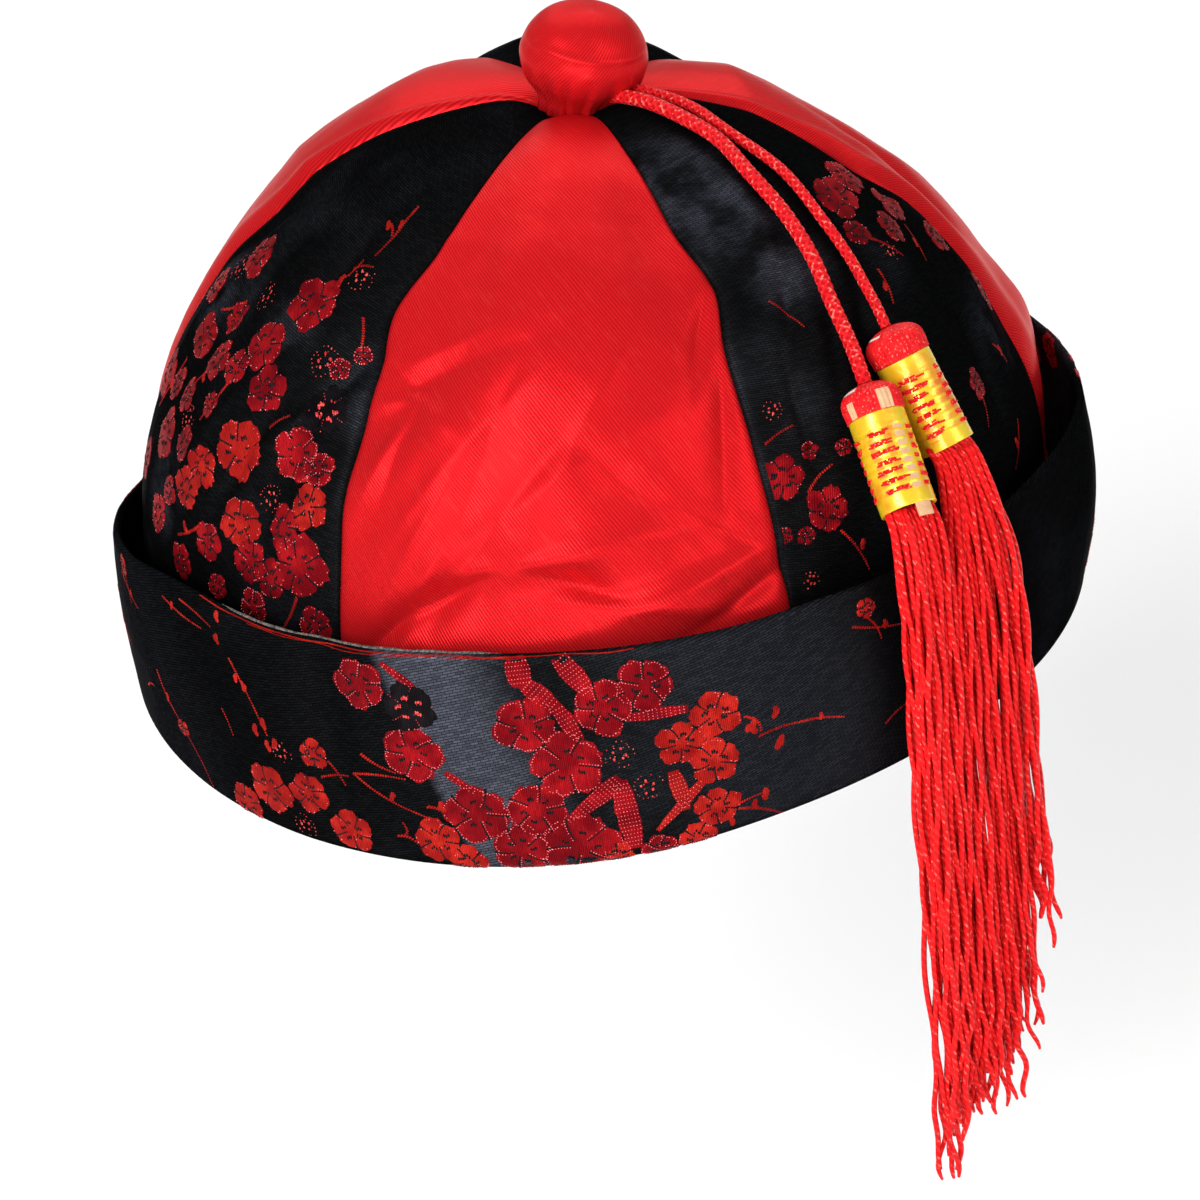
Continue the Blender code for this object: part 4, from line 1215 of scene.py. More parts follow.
def sparkling_thread(name, roughness, colour, light, painted_glint, share, speck_scale, lays):
    """Shiny thread with painted glints, small pale specks painted into its colour, only on its strands'
    crests where it has lays; there painted shade darkens the grooves between the strands. Each lay is its
    strands' count and slope.
    """
    finish = Finish(name, roughness, THREAD_METAL, THREAD_GLOSS, SATIN_TINT)
    tone = finish.mix(finish.ramp(finish.noise(*TONE_NOISE), *TONE_RAMP), colour, light)
    speck = finish.ramp(finish.noise(speck_scale, 1.0), share, share + SPECK_EDGE)
    if not lays:
        return finish.done(finish.mix(speck, tone, painted_glint), finish.noise(WOUND_SCALE), WOUND_BUMP)
    where = finish.node("UVMap", "UV", {}, uv_map="cloth")
    plies = []
    for strands, slope in lays:
        along = finish.times(finish.node("SeparateXYZ", "Y", {"Vector": where}), 2 * math.pi * slope)
        around = finish.times(finish.node("SeparateXYZ", "X", {"Vector": where}), 2 * math.pi * strands)
        plies.append(finish.math("COSINE", finish.math("ADD", along, around)))
    ply = finish.math("MAXIMUM", plies[0], plies[-1])
    painted_light_colour = finish.mix(finish.times(speck, finish.ramp(ply, *CREST_RAMP)), tone, painted_glint)
    # Painted shade in the grooves between the strands
    painted_groove_shade = tuple(THREAD_GROOVE_SHADE * value for value in colour)
    return finish.done(finish.mix(finish.ramp(ply, *GROOVE_SHADE_RAMP), painted_groove_shade, painted_light_colour), ply, PLY_BUMP)


def speckled(name, sort, roughness, first, second):
    """A plain material whose two colours mix in small specks."""
    metallic, gloss, speck, ramp, relief, bump = SORTS[sort]
    finish = Finish(name, roughness, metallic, gloss)
    share = finish.noise(*speck)
    if ramp:
        share = finish.ramp(share, *ramp)
    return finish.done(finish.mix(share, first, second), finish.noise(*relief) if relief else None, bump)


def make_camera():
    camera = bpy.data.objects.new("camera", bpy.data.cameras.new("camera"))
    bpy.context.scene.collection.objects.link(camera)
    down = math.radians(VIEW_ELEVATION)
    roll = math.radians(VIEW_ROLL)
    forward = Vector((0.0, math.cos(down), -math.sin(down)))
    level_up = Vector((0.0, math.sin(down), math.cos(down)))
    level_right = Vector((1.0, 0.0, 0.0))
    up = level_up * math.cos(roll) + level_right * math.sin(roll)
    right = level_right * math.cos(roll) - level_up * math.sin(roll)
    turn = Matrix((right, up, -forward)).transposed().to_4x4()
    camera.matrix_world = Matrix.Translation(Vector(VIEW_TARGET) - forward * VIEW_DISTANCE) @ turn
    camera.data.sensor_width = SENSOR
    camera.data.lens = VIEW_LENS
    camera.data.shift_x = (IMAGE_SIZE / 2 - TARGET_PIXEL[0]) / IMAGE_SIZE
    camera.data.shift_y = (TARGET_PIXEL[1] - IMAGE_SIZE / 2) / IMAGE_SIZE
    camera.data.clip_start = CLIP_START
    bpy.context.scene.camera = camera


def make_stage():
    """A white floor, a soft light all round and the area lights."""
    low, high = -FLOOR_REACH, FLOOR_REACH
    corners = [(x, y, FLOOR_HEIGHT) for x, y in ((low, low), (high, low), (high, high), (low, high))]
    finish = speckled("floor_paper", "floor", FLOOR_ROUGHNESS, FLOOR_DEEP, FLOOR_LIGHT)
    make_piece("floor", corners, [(0, 1, 2, 3)], [finish])
    for name, place, target, size, power in LIGHTS:
        light = bpy.data.lights.new(name, "AREA")
        light.shape = "RECTANGLE"
        light.size, light.size_y = size
        light.energy = power
        lamp = bpy.data.objects.new(name, light)
        bpy.context.scene.collection.objects.link(lamp)
        lamp.location = place
        lamp.rotation_euler = (Vector(target) - Vector(place)).to_track_quat("-Z", "Y").to_euler()
    world = bpy.data.worlds.new("studio")
    world.use_nodes = True
    world.node_tree.nodes["Background"].inputs["Color"].default_value = (*WHITE, 1.0)
    world.node_tree.nodes["Background"].inputs["Strength"].default_value = WORLD_STRENGTH
    bpy.context.scene.world = world


def make_gore(name, step, finish, inside, slot):
    """A gore as a dense sheet with its wrinkles, thickened inwards."""
    top = DOME_SHARE * math.asin((TIP_RADIUS / CROWN_RADIUS) ** (CROWN_ROUNDNESS / 2)) * 2 / math.pi
    rows, columns = (FRONT_ROWS + 1, FRONT_COLUMNS + 1) if step == 0 else (GORE_ROWS + 1, GORE_COLUMNS + 1)
    across = np.linspace(0.0, 1.0, columns)
    across = np.tile(across - COLUMN_CROWDING * np.sin(2 * np.pi * across), rows)
    t = np.repeat(1 - np.linspace(0.0, 1.0, rows) * (1 - top), columns)
    points, out = crown_points(step, t, across)
    middle = FRONT_ANGLE + GORE_STEP * step
    sideways = np.radians(gore_angle(step, t, across) - middle) * crown_profile(t, middle)[0]
    uv = np.stack([sideways / MM, -t * CROWN_RUN / MM], axis=1)
    count = len(points)
    last = count - columns
    rim = [*range(columns), *range(2 * columns - 1, count, columns)]
    rim += [*range(count - 2, last - 1, -1), *range(last - columns, 0, -columns)]
    sheet = grid_faces(rows, columns)
    lining = [tuple(count + index for index in face)[::-1] for face in sheet]
    edge = [(a, count + a, count + b, b) for a, b in zip(rim, rim[1:] + rim[:1])]
    kinds = [0] * len(sheet) + [1] * len(sheet) + [0] * len(edge)
    points = np.concatenate([points, points - out * CROWN_CLOTH])
    uv = np.concatenate([uv, uv])
    faces = sheet + lining + edge
    return make_piece(f"{name}_cloth", points, faces, [finish, inside], slot, [name], uv, kinds)


def make_cuff(finish):
    """The cuff as a band of one thickness, from its hem inside the fold out to its rounded rim."""
    turn = np.radians(np.arange(CUFF_COLUMNS) * 360.0 / CUFF_COLUMNS)
    radii, heights = (np.array(values) for values in zip(*cuff_line(np.degrees(turn))))
    points = np.stack([radii * np.cos(turn), radii * np.sin(turn), heights], axis=-1)
    round_way = np.roll(points, -1, axis=1) - np.roll(points, 1, axis=1)
    out = unit(np.cross(round_way, np.gradient(points, axis=0)))
    rows = len(points)
    wave = ripple(points.reshape(-1, 3), CUFF_RIPPLE, FINE_RIPPLE / 2).reshape(rows, -1)
    start = CUFF_HEM_ROWS + CUFF_FOLD_ROWS
    wall = rise(np.arange(rows), start, start + RIPPLE_ROWS)[:, None]
    points = points + out * (wave * wall)[..., None]
    run = run_along(points[:, 0])
    from_end = np.minimum(run, run[-1] - run) / (CUFF_CLOTH / 2)
    half = CUFF_CLOTH / 2 * np.sqrt(1 - (1 - np.clip(from_end, LEAST_THICKNESS, 1.0)) ** 2)
    thick = out * half[:, None, None]
    sheet = np.concatenate([(points + thick).reshape(-1, 3), (points - thick).reshape(-1, 3)])
    count = rows * CUFF_COLUMNS
    last = count - CUFF_COLUMNS
    faces = grid_faces(rows, CUFF_COLUMNS, closed=True)
    faces += [tuple(count + index for index in face)[::-1] for face in faces]
    for column in range(CUFF_COLUMNS):
        after = (column + 1) % CUFF_COLUMNS
        faces.append((after, column, count + column, count + after))
        faces.append((last + column, last + after, count + last + after, count + last + column))
    uv = np.stack([np.tile(turn * HEM_RADIUS / MM, rows), np.repeat(-run / MM, CUFF_COLUMNS)], axis=1)
    uv = np.concatenate([uv, uv])
    return make_piece("cuff_cloth", sheet, faces, [finish], "black_brocade", ["cuff"], uv)


def surface_probe(piece):
    """Finds the place on a piece's surface that a ray meets first."""
    body = bmesh.new()
    body.from_mesh(piece.data)
    tree = BVHTree.FromBMesh(body)
    body.free()
    return tree


def cuff_edge(angle, column):
    return float(from_table(angle, CUFF_EDGES, column))


def cuff_drape(tree, angle, height, inside=False):
    """Lays a flat pattern, in millimetres across and up, on the cuff round this place."""

    def place(x, y, lift):
        at = angle + math.degrees(x * MM / PATTERN_RADIUS) * (-1 if inside else 1)
        low = cuff_edge(at, FOLD_COLUMN) + EDGE_ROOM
        level = min(max((height + y) * MM, low), cuff_edge(at, RIM_COLUMN) - RIM_ROOM)
        side = Vector(heading(at))
        way = side if inside else -side
        spot = None
        while spot is None:
            start = Vector((0.0, 0.0, level)) + side * (HEM_RADIUS if inside else CROWN_RADIUS * 2)
            spot, normal, _, _ = tree.ray_cast(start, way)
            level -= EDGE_ROOM / 4
        if normal.dot(way) > 0:
            normal = -normal
        return spot + normal * lift * MM

    return place


def gore_drape(tree, middle, angle, share, tilt):
    """Lays a flat pattern, in millimetres across and up, on the gore with this middle, round this place."""
    c, s = math.cos(math.radians(tilt)), math.sin(math.radians(tilt))
    radius = max(float(crown_profile(np.array(share), angle)[0]), LEAST_RADIUS)

    def place(x, y, lift):
        x, y = c * x - s * y, s * x + c * y
        t = share - y * MM / CROWN_RUN
        edge = GORE_STEP - float(red_half_width(t)) - GORE_EDGE_ROOM
        at = min(max(angle + math.degrees(x * MM / radius), middle - edge), middle + edge)
        plain = Vector(crown_place(*crown_profile(np.array(t), at), at))
        out = (plain - Vector(CROWN_CENTRE)).normalized()
        spot, normal, _, _ = tree.ray_cast(plain + out * PROBE_REACH, -out)
        if normal.dot(out) < 0:
            normal = -normal
        return spot + normal * lift * MM

    return place


def polar(reach, angle):
    """The flat place at this distance and angle, in radians, from the middle."""
    return reach * math.cos(angle), reach * math.sin(angle)


def petal_reach(angle, share, petals):
    """How far a blossom reaches at this angle from its first petal's middle, as a share of its radius."""
    lobe = abs(math.cos(PETALS / 2 * angle)) ** LOBE_ROUNDNESS
    petal = petals[round(angle / PETAL_TURN) % PETALS]
    return 1.0 - PETAL_NOTCH * share * (1.0 - lobe) + (petal - 1.0) * lobe


class Stitches:
    """The parts of a woven pattern, gathered into one mesh: a face's kind picks its thread."""

    def __init__(self):
        self.points = []
        self.uv = []
        self.faces = []
        self.kinds = []

    def patch(self, place, rings, kind):
        """A filled patch from rings of (x, y, lift), the first ring being one point in the middle."""
        middle = len(self.points)
        first = middle + 1
        count = len(rings[1])
        for spot in sum(rings, []):
            self.points.append(place(*spot))
            self.uv.append(spot[:2])
        faces = [(middle, first + index, first + (index + 1) % count) for index in range(count)]
        for low in range(first, first + (len(rings) - 2) * count, count):
            for index in range(count):
                after = (index + 1) % count
                faces.append((low + index, low + count + index, low + count + after, low + after))
        self.faces += faces
        self.kinds += [kind] * len(faces)

    def dash(self, place, spot, size, turn, kind, lift=DASH_LIFT):
        """One short stitch with a raised middle. One that is lifted high stands on the stitches below it."""
        foot = FLOSS_LIFT * STANDING_SHARE if lift > FLOSS_LIFT else DASH_FOOT
        x, y = spot
        c, s = math.cos(turn), math.sin(turn)
        ring = []
        for along, aside in DASH_OUTLINE:
            a, b = along * size[0], aside * size[1]
            ring.append((x + c * a - s * b, y + s * a + c * b, foot))
        self.patch(place, [[(x, y, lift)], ring], kind)

    def dot(self, place, spot, dice, kind, lift):
        size = DOT_SIZE * dice.uniform(*DOT_DRAW)
        self.dash(place, spot, (size * DOT_STRETCH, size), math.pi / 2, kind, lift)

    def blossom(self, place, radius, turn, style, dice):
        """A five-petalled blossom: long stitches, dotted along its outline and petals, where pale pink dots
        are painted glints, dark in its middle.
        """
        fill, outline_dot, outline_share, petal_dot, petal_share, middle_dot = STYLES[style]
        radius = radius * BLOSSOM_SCALE
        petals = [1 + dice.uniform(*PETAL_DRAW) * PETAL_SWAY for _ in range(PETALS)]
        ragged = [1 + dice.uniform(-1.0, 1.0) * RAGGED for _ in range(BLOSSOM_SIDES)]
        spacing = DOT_SPACING if fill else OPEN_SPACING
        raised = FLOSS_LIFT + DASH_LIFT if fill else DASH_LIFT
        if fill:
            rings = [[(0.0, 0.0, FLOSS_LIFT)]]
            for share, lift in BLOSSOM_RINGS:
                ring = []
                for index, uneven in enumerate(ragged):
                    angle = 2 * math.pi * index / BLOSSOM_SIDES
                    reach = share * radius * petal_reach(angle - turn, share, petals) * uneven
                    ring.append((*polar(reach, angle), lift * FLOSS_LIFT))
                rings.append(ring)
            self.patch(place, rings, fill)
        steps = int(2 * math.pi * radius * OUTLINE_PLACE / spacing)
        for index in range(steps):
            angle = 2 * math.pi * index / steps
            reach = radius * petal_reach(angle - turn, 1.0, petals) * dice.uniform(*OUTLINE_DRAW)
            if dice.random() < outline_share:
                self.dot(place, polar(reach, angle), dice, outline_dot, raised)
        for petal in range(PETALS):
            curl = dice.uniform(-PETAL_CURL, PETAL_CURL)
            for step in range(int(radius * PETAL_ROW / spacing) + 1):
                reach = radius * PETAL_GAP - step * spacing
                at = turn + PETAL_TURN * (petal + 0.5) + curl * (PETAL_GAP - reach / radius)
                if fill and style != "black":
                    size = (spacing * GAP_LENGTH, GAP_STITCH)
                    self.dash(place, polar(reach, at), size, at, "black_dot", raised * GAP_LIFT)
                if dice.random() < petal_share:
                    beside = at + GAP_STITCH * BESIDE_GAP / max(reach, 1.0)
                    self.dot(place, polar(reach, beside), dice, petal_dot, raised)
        for petal in range(PETALS):
            at = turn + PETAL_TURN * petal + dice.uniform(-MIDDLE_TURN, MIDDLE_TURN)
            x, y = polar(radius * MIDDLE_PLACE, at)
            for step in (-1, 0, 1) if fill else (0,):
                spot = (x + step * MIDDLE_STEP, y + dice.uniform(-MIDDLE_SWAY, MIDDLE_SWAY))
                long = MIDDLE_LENGTH * dice.uniform(*MIDDLE_DRAW) * min(1.0, radius / MIDDLE_RADIUS)
                self.dash(place, spot, (long, MIDDLE_WIDTH), math.pi / 2, middle_dot, raised * MIDDLE_LIFT)

    def bud(self, place, radius, dice):
        """A small closed bud."""
        for step in (-1, 0, 1):
            spot = (radius * dice.uniform(-BUD_SWAY, BUD_SWAY), radius * step * BUD_STEP)
            turn = math.pi / 2 + dice.uniform(-BUD_TURN, BUD_TURN)
            size = (radius * BUD_LENGTH, radius * BUD_WIDTH)
            self.dash(place, spot, size, turn, "orange_floss", FLOSS_LIFT)

    def twig(self, place, end, bow, width, dice):
        """A thin curved line of slanting stitches out to this spot."""
        count = max(TWIG_LEAST, int(math.hypot(*end) / TWIG_SPACING))
        turn = math.atan2(end[1], end[0])
        for run in np.arange(count + 1) / count:
            aside = bow * math.sin(math.pi * run)
            spot = (end[0] * run - math.sin(turn) * aside, end[1] * run + math.cos(turn) * aside)
            long = width * (1.0 - TWIG_TAPER * run) * dice.uniform(*TWIG_DRAW) * TWIG_LENGTH
            self.dash(place, spot, (long, TWIG_STITCH), turn + TWIG_SLANT, "orange_floss")

    def branch(self, place, end, widths, kind, dice):
        """A broad patch of stitches out to this spot, with rows of pale pink dots across it, painted glints.
        """
        length = math.hypot(*end)
        c, s = end[0] / length, end[1] / length
        count = max(BRANCH_LEAST, int(length / BRANCH_STEP))

        def spot(along, aside):
            return (c * along - s * aside, s * along + c * aside)

        def half(run):
            round_end = math.sin(math.pi * (BRANCH_END + (1 - 2 * BRANCH_END) * run)) ** 0.5
            return (widths[0] + (widths[1] - widths[0]) * run) / 2 * round_end

        outline = []
        for side, order in ((1, range(count + 1)), (-1, range(count, -1, -1))):
            for index in order:
                run = index / count
                outline.append((run * length, side * half(run) * dice.uniform(*BRANCH_DRAW)))
        middle = length / 2
        rings = [[(*spot(middle, 0.0), FLOSS_LIFT)]]
        for share, lift in BRANCH_RINGS:
            rings.append([(*spot(middle + (a - middle) * share, b * share), lift) for a, b in outline])
        self.patch(place, rings, kind)
        for index in range(1, count):
            run = index / count
            reach = half(run)
            dots = max(1, int(2 * reach / DOT_SPACING))
            for dot in range(dots):
                aside = -reach + (dot + 0.5) * 2 * reach / dots
                size = (DOT_SIZE, DOT_SIZE * FLAT_DOT)
                self.dash(place, spot(run * length, aside), size, 0.0, "pink_dot", FLOSS_LIFT + DASH_LIFT)

    def build(self, name, threads):
        names = sorted(threads)
        kinds = [names.index(kind) for kind in self.kinds]
        finishes = [threads[key] for key in names]
        make_piece(name, self.points, self.faces, finishes, "black_brocade", uv=self.uv, kinds=kinds)


def weave_cuff(tree, turn, low, high, dice):
    """The cuff's group of blossoms, turned as a whole, where its angles then lie within the given ones."""
    woven = Stitches()

    def shown(rows):
        """Each row in the group: its place on the cuff, its angle and height, and the rest of it."""
        for angle, height, *rest in rows:
            at = angle + turn
            bare = turn and BARE_CUFF[0] < at % 360.0 < BARE_CUFF[1]
            if low <= at <= high and not bare:
                yield cuff_drape(tree, at, height), angle, height, rest

    def across(angle, height, end_angle, end_height):
        return (math.radians(end_angle - angle) * PATTERN_RADIUS / MM, end_height - height)

    for place, _, _, (radius, style) in shown(CUFF_BLOSSOMS):
        woven.blossom(place, radius, dice.uniform(*BLOSSOM_TURNS), style, dice)
    for place, angle, height, (end_angle, end_height, *widths, kind) in shown(CUFF_BRANCHES):
        woven.branch(place, across(angle, height, end_angle, end_height), widths, kind, dice)
    for place, angle, height, (end_angle, end_height, bow, width) in shown(CUFF_TWIGS):
        woven.twig(place, across(angle, height, end_angle, end_height), bow, width, dice)
    for place, _, _, (radius,) in shown(CUFF_BUDS):
        woven.bud(place, radius, dice)
    return woven


def weave_gore(tree, name, home, turn, blossoms, twigs, dice):
    """The blossoms, twigs and buds of one brocade gore, turned from the gore with this middle."""
    woven = Stitches()
    middle = home + turn
    tilt = GORE_TILT[name]
    for angle, share, radius, style in blossoms:
        place = gore_drape(tree, middle, angle + turn, share, tilt)
        woven.blossom(place, radius, dice.uniform(*BLOSSOM_TURNS), style, dice)
    for angle, share, end_angle, end_share, bow, width in twigs:
        radius = float(crown_profile(np.array(share), angle)[0])
        end = (math.radians(end_angle - angle) * radius / MM, (share - end_share) * CROWN_RUN / MM)
        woven.twig(gore_drape(tree, middle, angle + turn, share, 0.0), end, bow, width, dice)
    for bud_home, angle, share, radius in GORE_BUDS:
        if bud_home == home:
            woven.bud(gore_drape(tree, middle, angle + turn, share, tilt), radius, dice)
    woven.build(f"{name}_pattern", THREADS)


def smooth_profile(rows, count):
    """A turned piece's profile as a smooth curve through these rows of radius and height."""
    route = smooth_route([(radius, 0.0, height) for radius, height in rows], count)
    return [(max(radius, NUDGE), height) for radius, _, height in route]


def make_button(finish):
    """The padded button, gathered towards its neck and with one long crease near its top."""

    def shape(radius, height, turn):
        share = max(0.0, 1 - height / GATHER_TOP) * min(1.0, radius / BUTTON_PROFILE[-2][0])
        pleat = np.cos(GATHERS * turn + PLEAT_SWAY * np.sin(PLEAT_SWAYS * turn))
        pleat = pleat - SECOND_PLEAT * np.cos(2 * GATHERS * turn + SECOND_PHASE)
        fold = 1 + GATHER_DEPTH * share * pleat / CAP_RADIUS
        across = radius * np.sin(turn) / BUTTON_FOLD_REACH
        aside = (height - BUTTON_FOLD_HEIGHT + BUTTON_FOLD_BOW * across**2) / BUTTON_FOLD_WIDTH
        front = np.clip(-np.sin(turn) * BUTTON_FOLD_FRONT, 0.0, 1.0) * min(1.0, radius / BUTTON_FOLD_START)
        return radius * fold - BUTTON_FOLD_DEPTH * np.exp(-(aside**2)) * front

    place = Matrix.Translation(BUTTON_BASE) @ Matrix.Rotation(math.radians(BUTTON_TILT), 4, "Y")
    profile = [*smooth_profile(BUTTON_PROFILE, BUTTON_ROWS), BUTTON_NECK]
    points, faces, uv = turned(profile, BUTTON_SIDES, place, shape)
    make_piece("button_cloth", points, faces, [finish], "red_satin", ["button"], uv)


def braid_relief(turn, run):
    """Two sets of strands that cross round a cord."""
    lay = 2 * np.pi * run / BRAID_PITCH * 2
    crossing = np.maximum(np.cos(BRAID_STRANDS * turn + lay), np.cos(BRAID_STRANDS * turn - lay))
    return 1 - BRAID_DEPTH / 2 + BRAID_DEPTH * crossing


def make_cord(name, route, radius, finish, pieces):
    path = smooth_route(route, CORD_POINTS)
    length = float(run_along(path)[-1])
    points, faces, uv = tube(smooth_route(route, int(length / BRAID_STEP)), radius, BRAID_SIDES, braid_relief)
    cord = make_piece(f"{name}_braid", points, faces, [finish], "red_cord", [name], uv)
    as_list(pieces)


def rim_line(tree, start, end, drop, sway, inside, dice):
    """A wavering line along the cuff's rim."""
    waves = [(dice.uniform(*RIM_WAVE_DRAW), dice.uniform(*PHASE_DRAW), rate) for rate in RIM_WAVES]
    path = []
    for angle in start + (end - start) * np.arange(RIM_STEPS + 1) / RIM_STEPS:
        wave = sum(size * math.sin(rate * math.radians(angle) + phase) for size, phase, rate in waves)
        height = cuff_edge(angle, RIM_COLUMN) / MM - drop + sway * wave
        path.append(cuff_drape(tree, angle, height, inside)(0.0, 0.0, RIM_LIFT))
    return smooth_route(path, RIM_STEPS * 3)


def make_rim(tree, fibre, thread):
    """The raw edge that peeps over the rim at the front, and the red thread along it."""
    dice = random.Random("rim edge")
    for number, (start, end, drop, thickness) in enumerate(RAW_EDGES):
        path = rim_line(tree, start, end, drop, RAW_SWAY, True, dice)
        taper = np.clip(np.sin(np.linspace(0.0, np.pi, len(path))) * RAW_FULLNESS, RAW_END, 1.0)
        points, faces, uv = tube(path, thickness * MM * taper, RIM_SIDES)
        points = points + ripple(points, RAW_ROUGHNESS, RAW_ROUGHNESS)[:, None] * np.array(RAW_WAYS)
        make_piece(f"cuff_raw_edge_{number + 1}", points, faces, [fibre], "black_brocade", uv=uv)
    for number, (start, end, drop, thickness) in enumerate(RIM_THREADS):
        path = rim_line(tree, start, end, drop, EDGE_THREAD_SWAY, False, dice)
        points, faces, uv = tube(path, thickness * MM, RIM_SIDES)
        make_piece(f"cuff_edge_thread_{number + 1}", points, faces, [thread], "black_brocade", uv=uv)


def head_place(top, foot):
    """Places a tassel's head: its own Z runs up the axis, and its origin is the cap's top."""
    axis = (Vector(top) - Vector(foot)).normalized()
    return Matrix.Translation(top) @ axis.to_track_quat("Z", "Y").to_matrix().to_4x4()


def patch_kinds(depth, sides, patches, front):
    """The patches' kinds round a head at this depth, face by face, and 0 where no patch lies."""
    kinds = []
    for side in range(sides):
        angle = 360.0 * (side + 0.5) / sides - front
        found = 0
        for middle, half, top, foot, kind in patches[::-1]:
            if abs((angle - middle + 180.0) % 360.0 - 180.0) < half and top <= depth < foot:
                found = kind
        kinds.append(found)
    return kinds


def make_cap(name, place, finishes, patches, front):
    """A head of threads laid over a paper ring, which shows where the threads part."""

    def shape(radius, height, turn):
        threads = np.cos(CAP_THREADS * turn + CAP_SWAY * np.sin(2 * turn) + CAP_SLANT * height)
        uneven = sum(share * np.cos(count * turn + phase) for share, count, phase in CAP_LUMPS)
        return radius + (CAP_RIB * threads + CAP_UNEVEN * uneven) * min(1.0, radius / CAP_MIDDLE)

    profile = smooth_profile([(radius, share * CAP_LENGTH) for radius, share in CAP_OUTLINE], CAP_ROWS)
    points, faces, uv = turned(profile, CAP_SIDES, place, shape)
    kinds = [patch_kinds(-height / CAP_LENGTH, CAP_SIDES, patches, front) for _, height in profile[:-1]]
    kinds = sum(kinds, []) + [0, 0]
    return make_piece(f"{name}_winding", points, faces, finishes, "red_thread", [name], uv, kinds)


def arc_tube(place, height, start, sweep, slope):
    """A short thread laid round a band."""
    steps = max(ARC_LEAST, int(sweep / ARC_STEP))
    path = []
    for share in np.arange(steps + 1) / steps:
        spot = polar(BAND_RADIUS + TURN_LIFT, start + sweep * share)
        path.append(place @ Vector((*spot, height + slope * share)))
    return tube(path, TURN_THICKNESS, ARC_SIDES)


def band_threads(place, top, front, dice):
    """Red threads in broken rows round a band."""
    parts = []
    for row in range(BAND_TURNS):
        share = BAND_TURNS_TOP + (BAND_TURNS_FOOT - BAND_TURNS_TOP) * row / (BAND_TURNS - 1)
        for middle, half in BAND_COLUMNS:
            centre = math.radians(front + middle)
            reach = math.radians(half * dice.uniform(*COLUMN_DRAW))
            for strand in range(BAND_STRANDS):
                aside = (strand - (BAND_STRANDS - 1) / 2) * TURN_THICKNESS * STRAND_STEP
                turn = centre - reach * dice.uniform(TURN_END, 1.0)
                while turn < centre + reach * TURN_END:
                    sweep = dice.uniform(*SWEEP_DRAW)
                    height = top - BAND_LENGTH * share + aside + dice.uniform(-1.0, 1.0) * TURN_SWAY
                    parts.append(arc_tube(place, height, turn, sweep, dice.uniform(-1.0, 1.0) * TURN_SWAY))
                    turn += sweep + dice.uniform(*BREAK_DRAW)
    return parts


def make_band(name, place, finishes, patches, front, dice):
    """A foil band in level turns, with red threads through it in broken rows."""
    top = -CAP_LENGTH - GAP
    foot = top - BAND_LENGTH
    rows = [(BAND_RADIUS, top + (foot - top) * index / BAND_ROWS) for index in range(BAND_ROWS + 1)]
    profile = [(BAND_RADIUS - BAND_WALL, top), *rows, (BAND_RADIUS - BAND_WALL, foot)]

    def foil_wave(height):
        return math.cos(2 * math.pi * (top - height) / BAND_LENGTH * FOIL_TURNS)

    def shape(radius, height, turn):
        wave = sum(share * np.sin(count * turn + slant * height) for share, count, slant in BAND_WAVES)
        wave = BAND_CREASE * wave
        if BAND_PLAIN < (top - height) / BAND_LENGTH < 1 - BAND_PLAIN:
            wave = wave - FOIL_STEP * (0.5 + 0.5 * foil_wave(height))
        return radius + wave * (radius >= BAND_RADIUS)

    points, faces, uv = turned(profile, BAND_SIDES, place, shape)
    last = len(points) - BAND_SIDES
    sides = [(side, (side + 1) % BAND_SIDES) for side in range(BAND_SIDES)]
    faces = faces[:-2] + [(last + side, last + after, after, side) for side, after in sides]
    kinds = []
    for _, height in profile[:-1]:
        shown = patches if foil_wave(height) > FOIL_GAP else ()
        kinds += patch_kinds((top - height) / BAND_LENGTH, BAND_SIDES, shown, front)
    kinds += [0] * BAND_SIDES
    points, faces, uv = join_parts([(points, faces, uv), *band_threads(place, top, front, dice)])
    kinds += [1] * (len(faces) - len(kinds))
    return make_piece(f"{name}_wrap", points, faces, finishes, "gold_foil", [name], uv, kinds)


def make_strip(name, place, finish, front):
    """The end of the paper ring, which peeps out under a band."""
    foot = -CAP_LENGTH - GAP - BAND_LENGTH
    turns = np.radians(front + np.linspace(*STRIP_TURNS, STRIP_SIDES))
    points = []
    for radius in (STRIP_RADIUS, STRIP_RADIUS - STRIP_WALL):
        for height in (foot + STRIP_TUCK, foot - STRIP_DROP):
            points += [place @ Vector((*polar(radius, turn), height)) for turn in turns]
    faces = []
    for low, high in ((0, 1), (1, 3), (3, 2), (2, 0)):
        for side in range(STRIP_SIDES - 1):
            a, b = low * STRIP_SIDES + side, high * STRIP_SIDES + side
            faces.append((a, a + 1, b + 1, b))
    for side in (0, STRIP_SIDES - 1):
        faces.append(tuple(row * STRIP_SIDES + side for row in (0, 1, 3, 2)))
    return make_piece(name, points, faces, [finish], "gold_foil", smooth=False)


def clump_route(place, out, across, root, sides, distance, tip):
    """The middle of a clump of threads: out of the head, over the rim, and down to its tip."""
    foot = -CAP_LENGTH - GAP - BAND_LENGTH
    hang = [
        np.array(place @ Vector((0.0, 0.0, foot + ROOT_TUCK))) + root,
        np.array(place @ Vector((0.0, 0.0, foot - ROOT_LEAVE))) + root * ROOT_FANNING,
    ]
    for run, height in ((0.0, DROP_START), (0.5, (DROP_START + tip) / 2), (1.0, tip)):
        side = sides[0] + (sides[1] - sides[0]) * run
        hang.append(out * distance + across * side + np.array((0.0, 0.0, height)))
    return hang


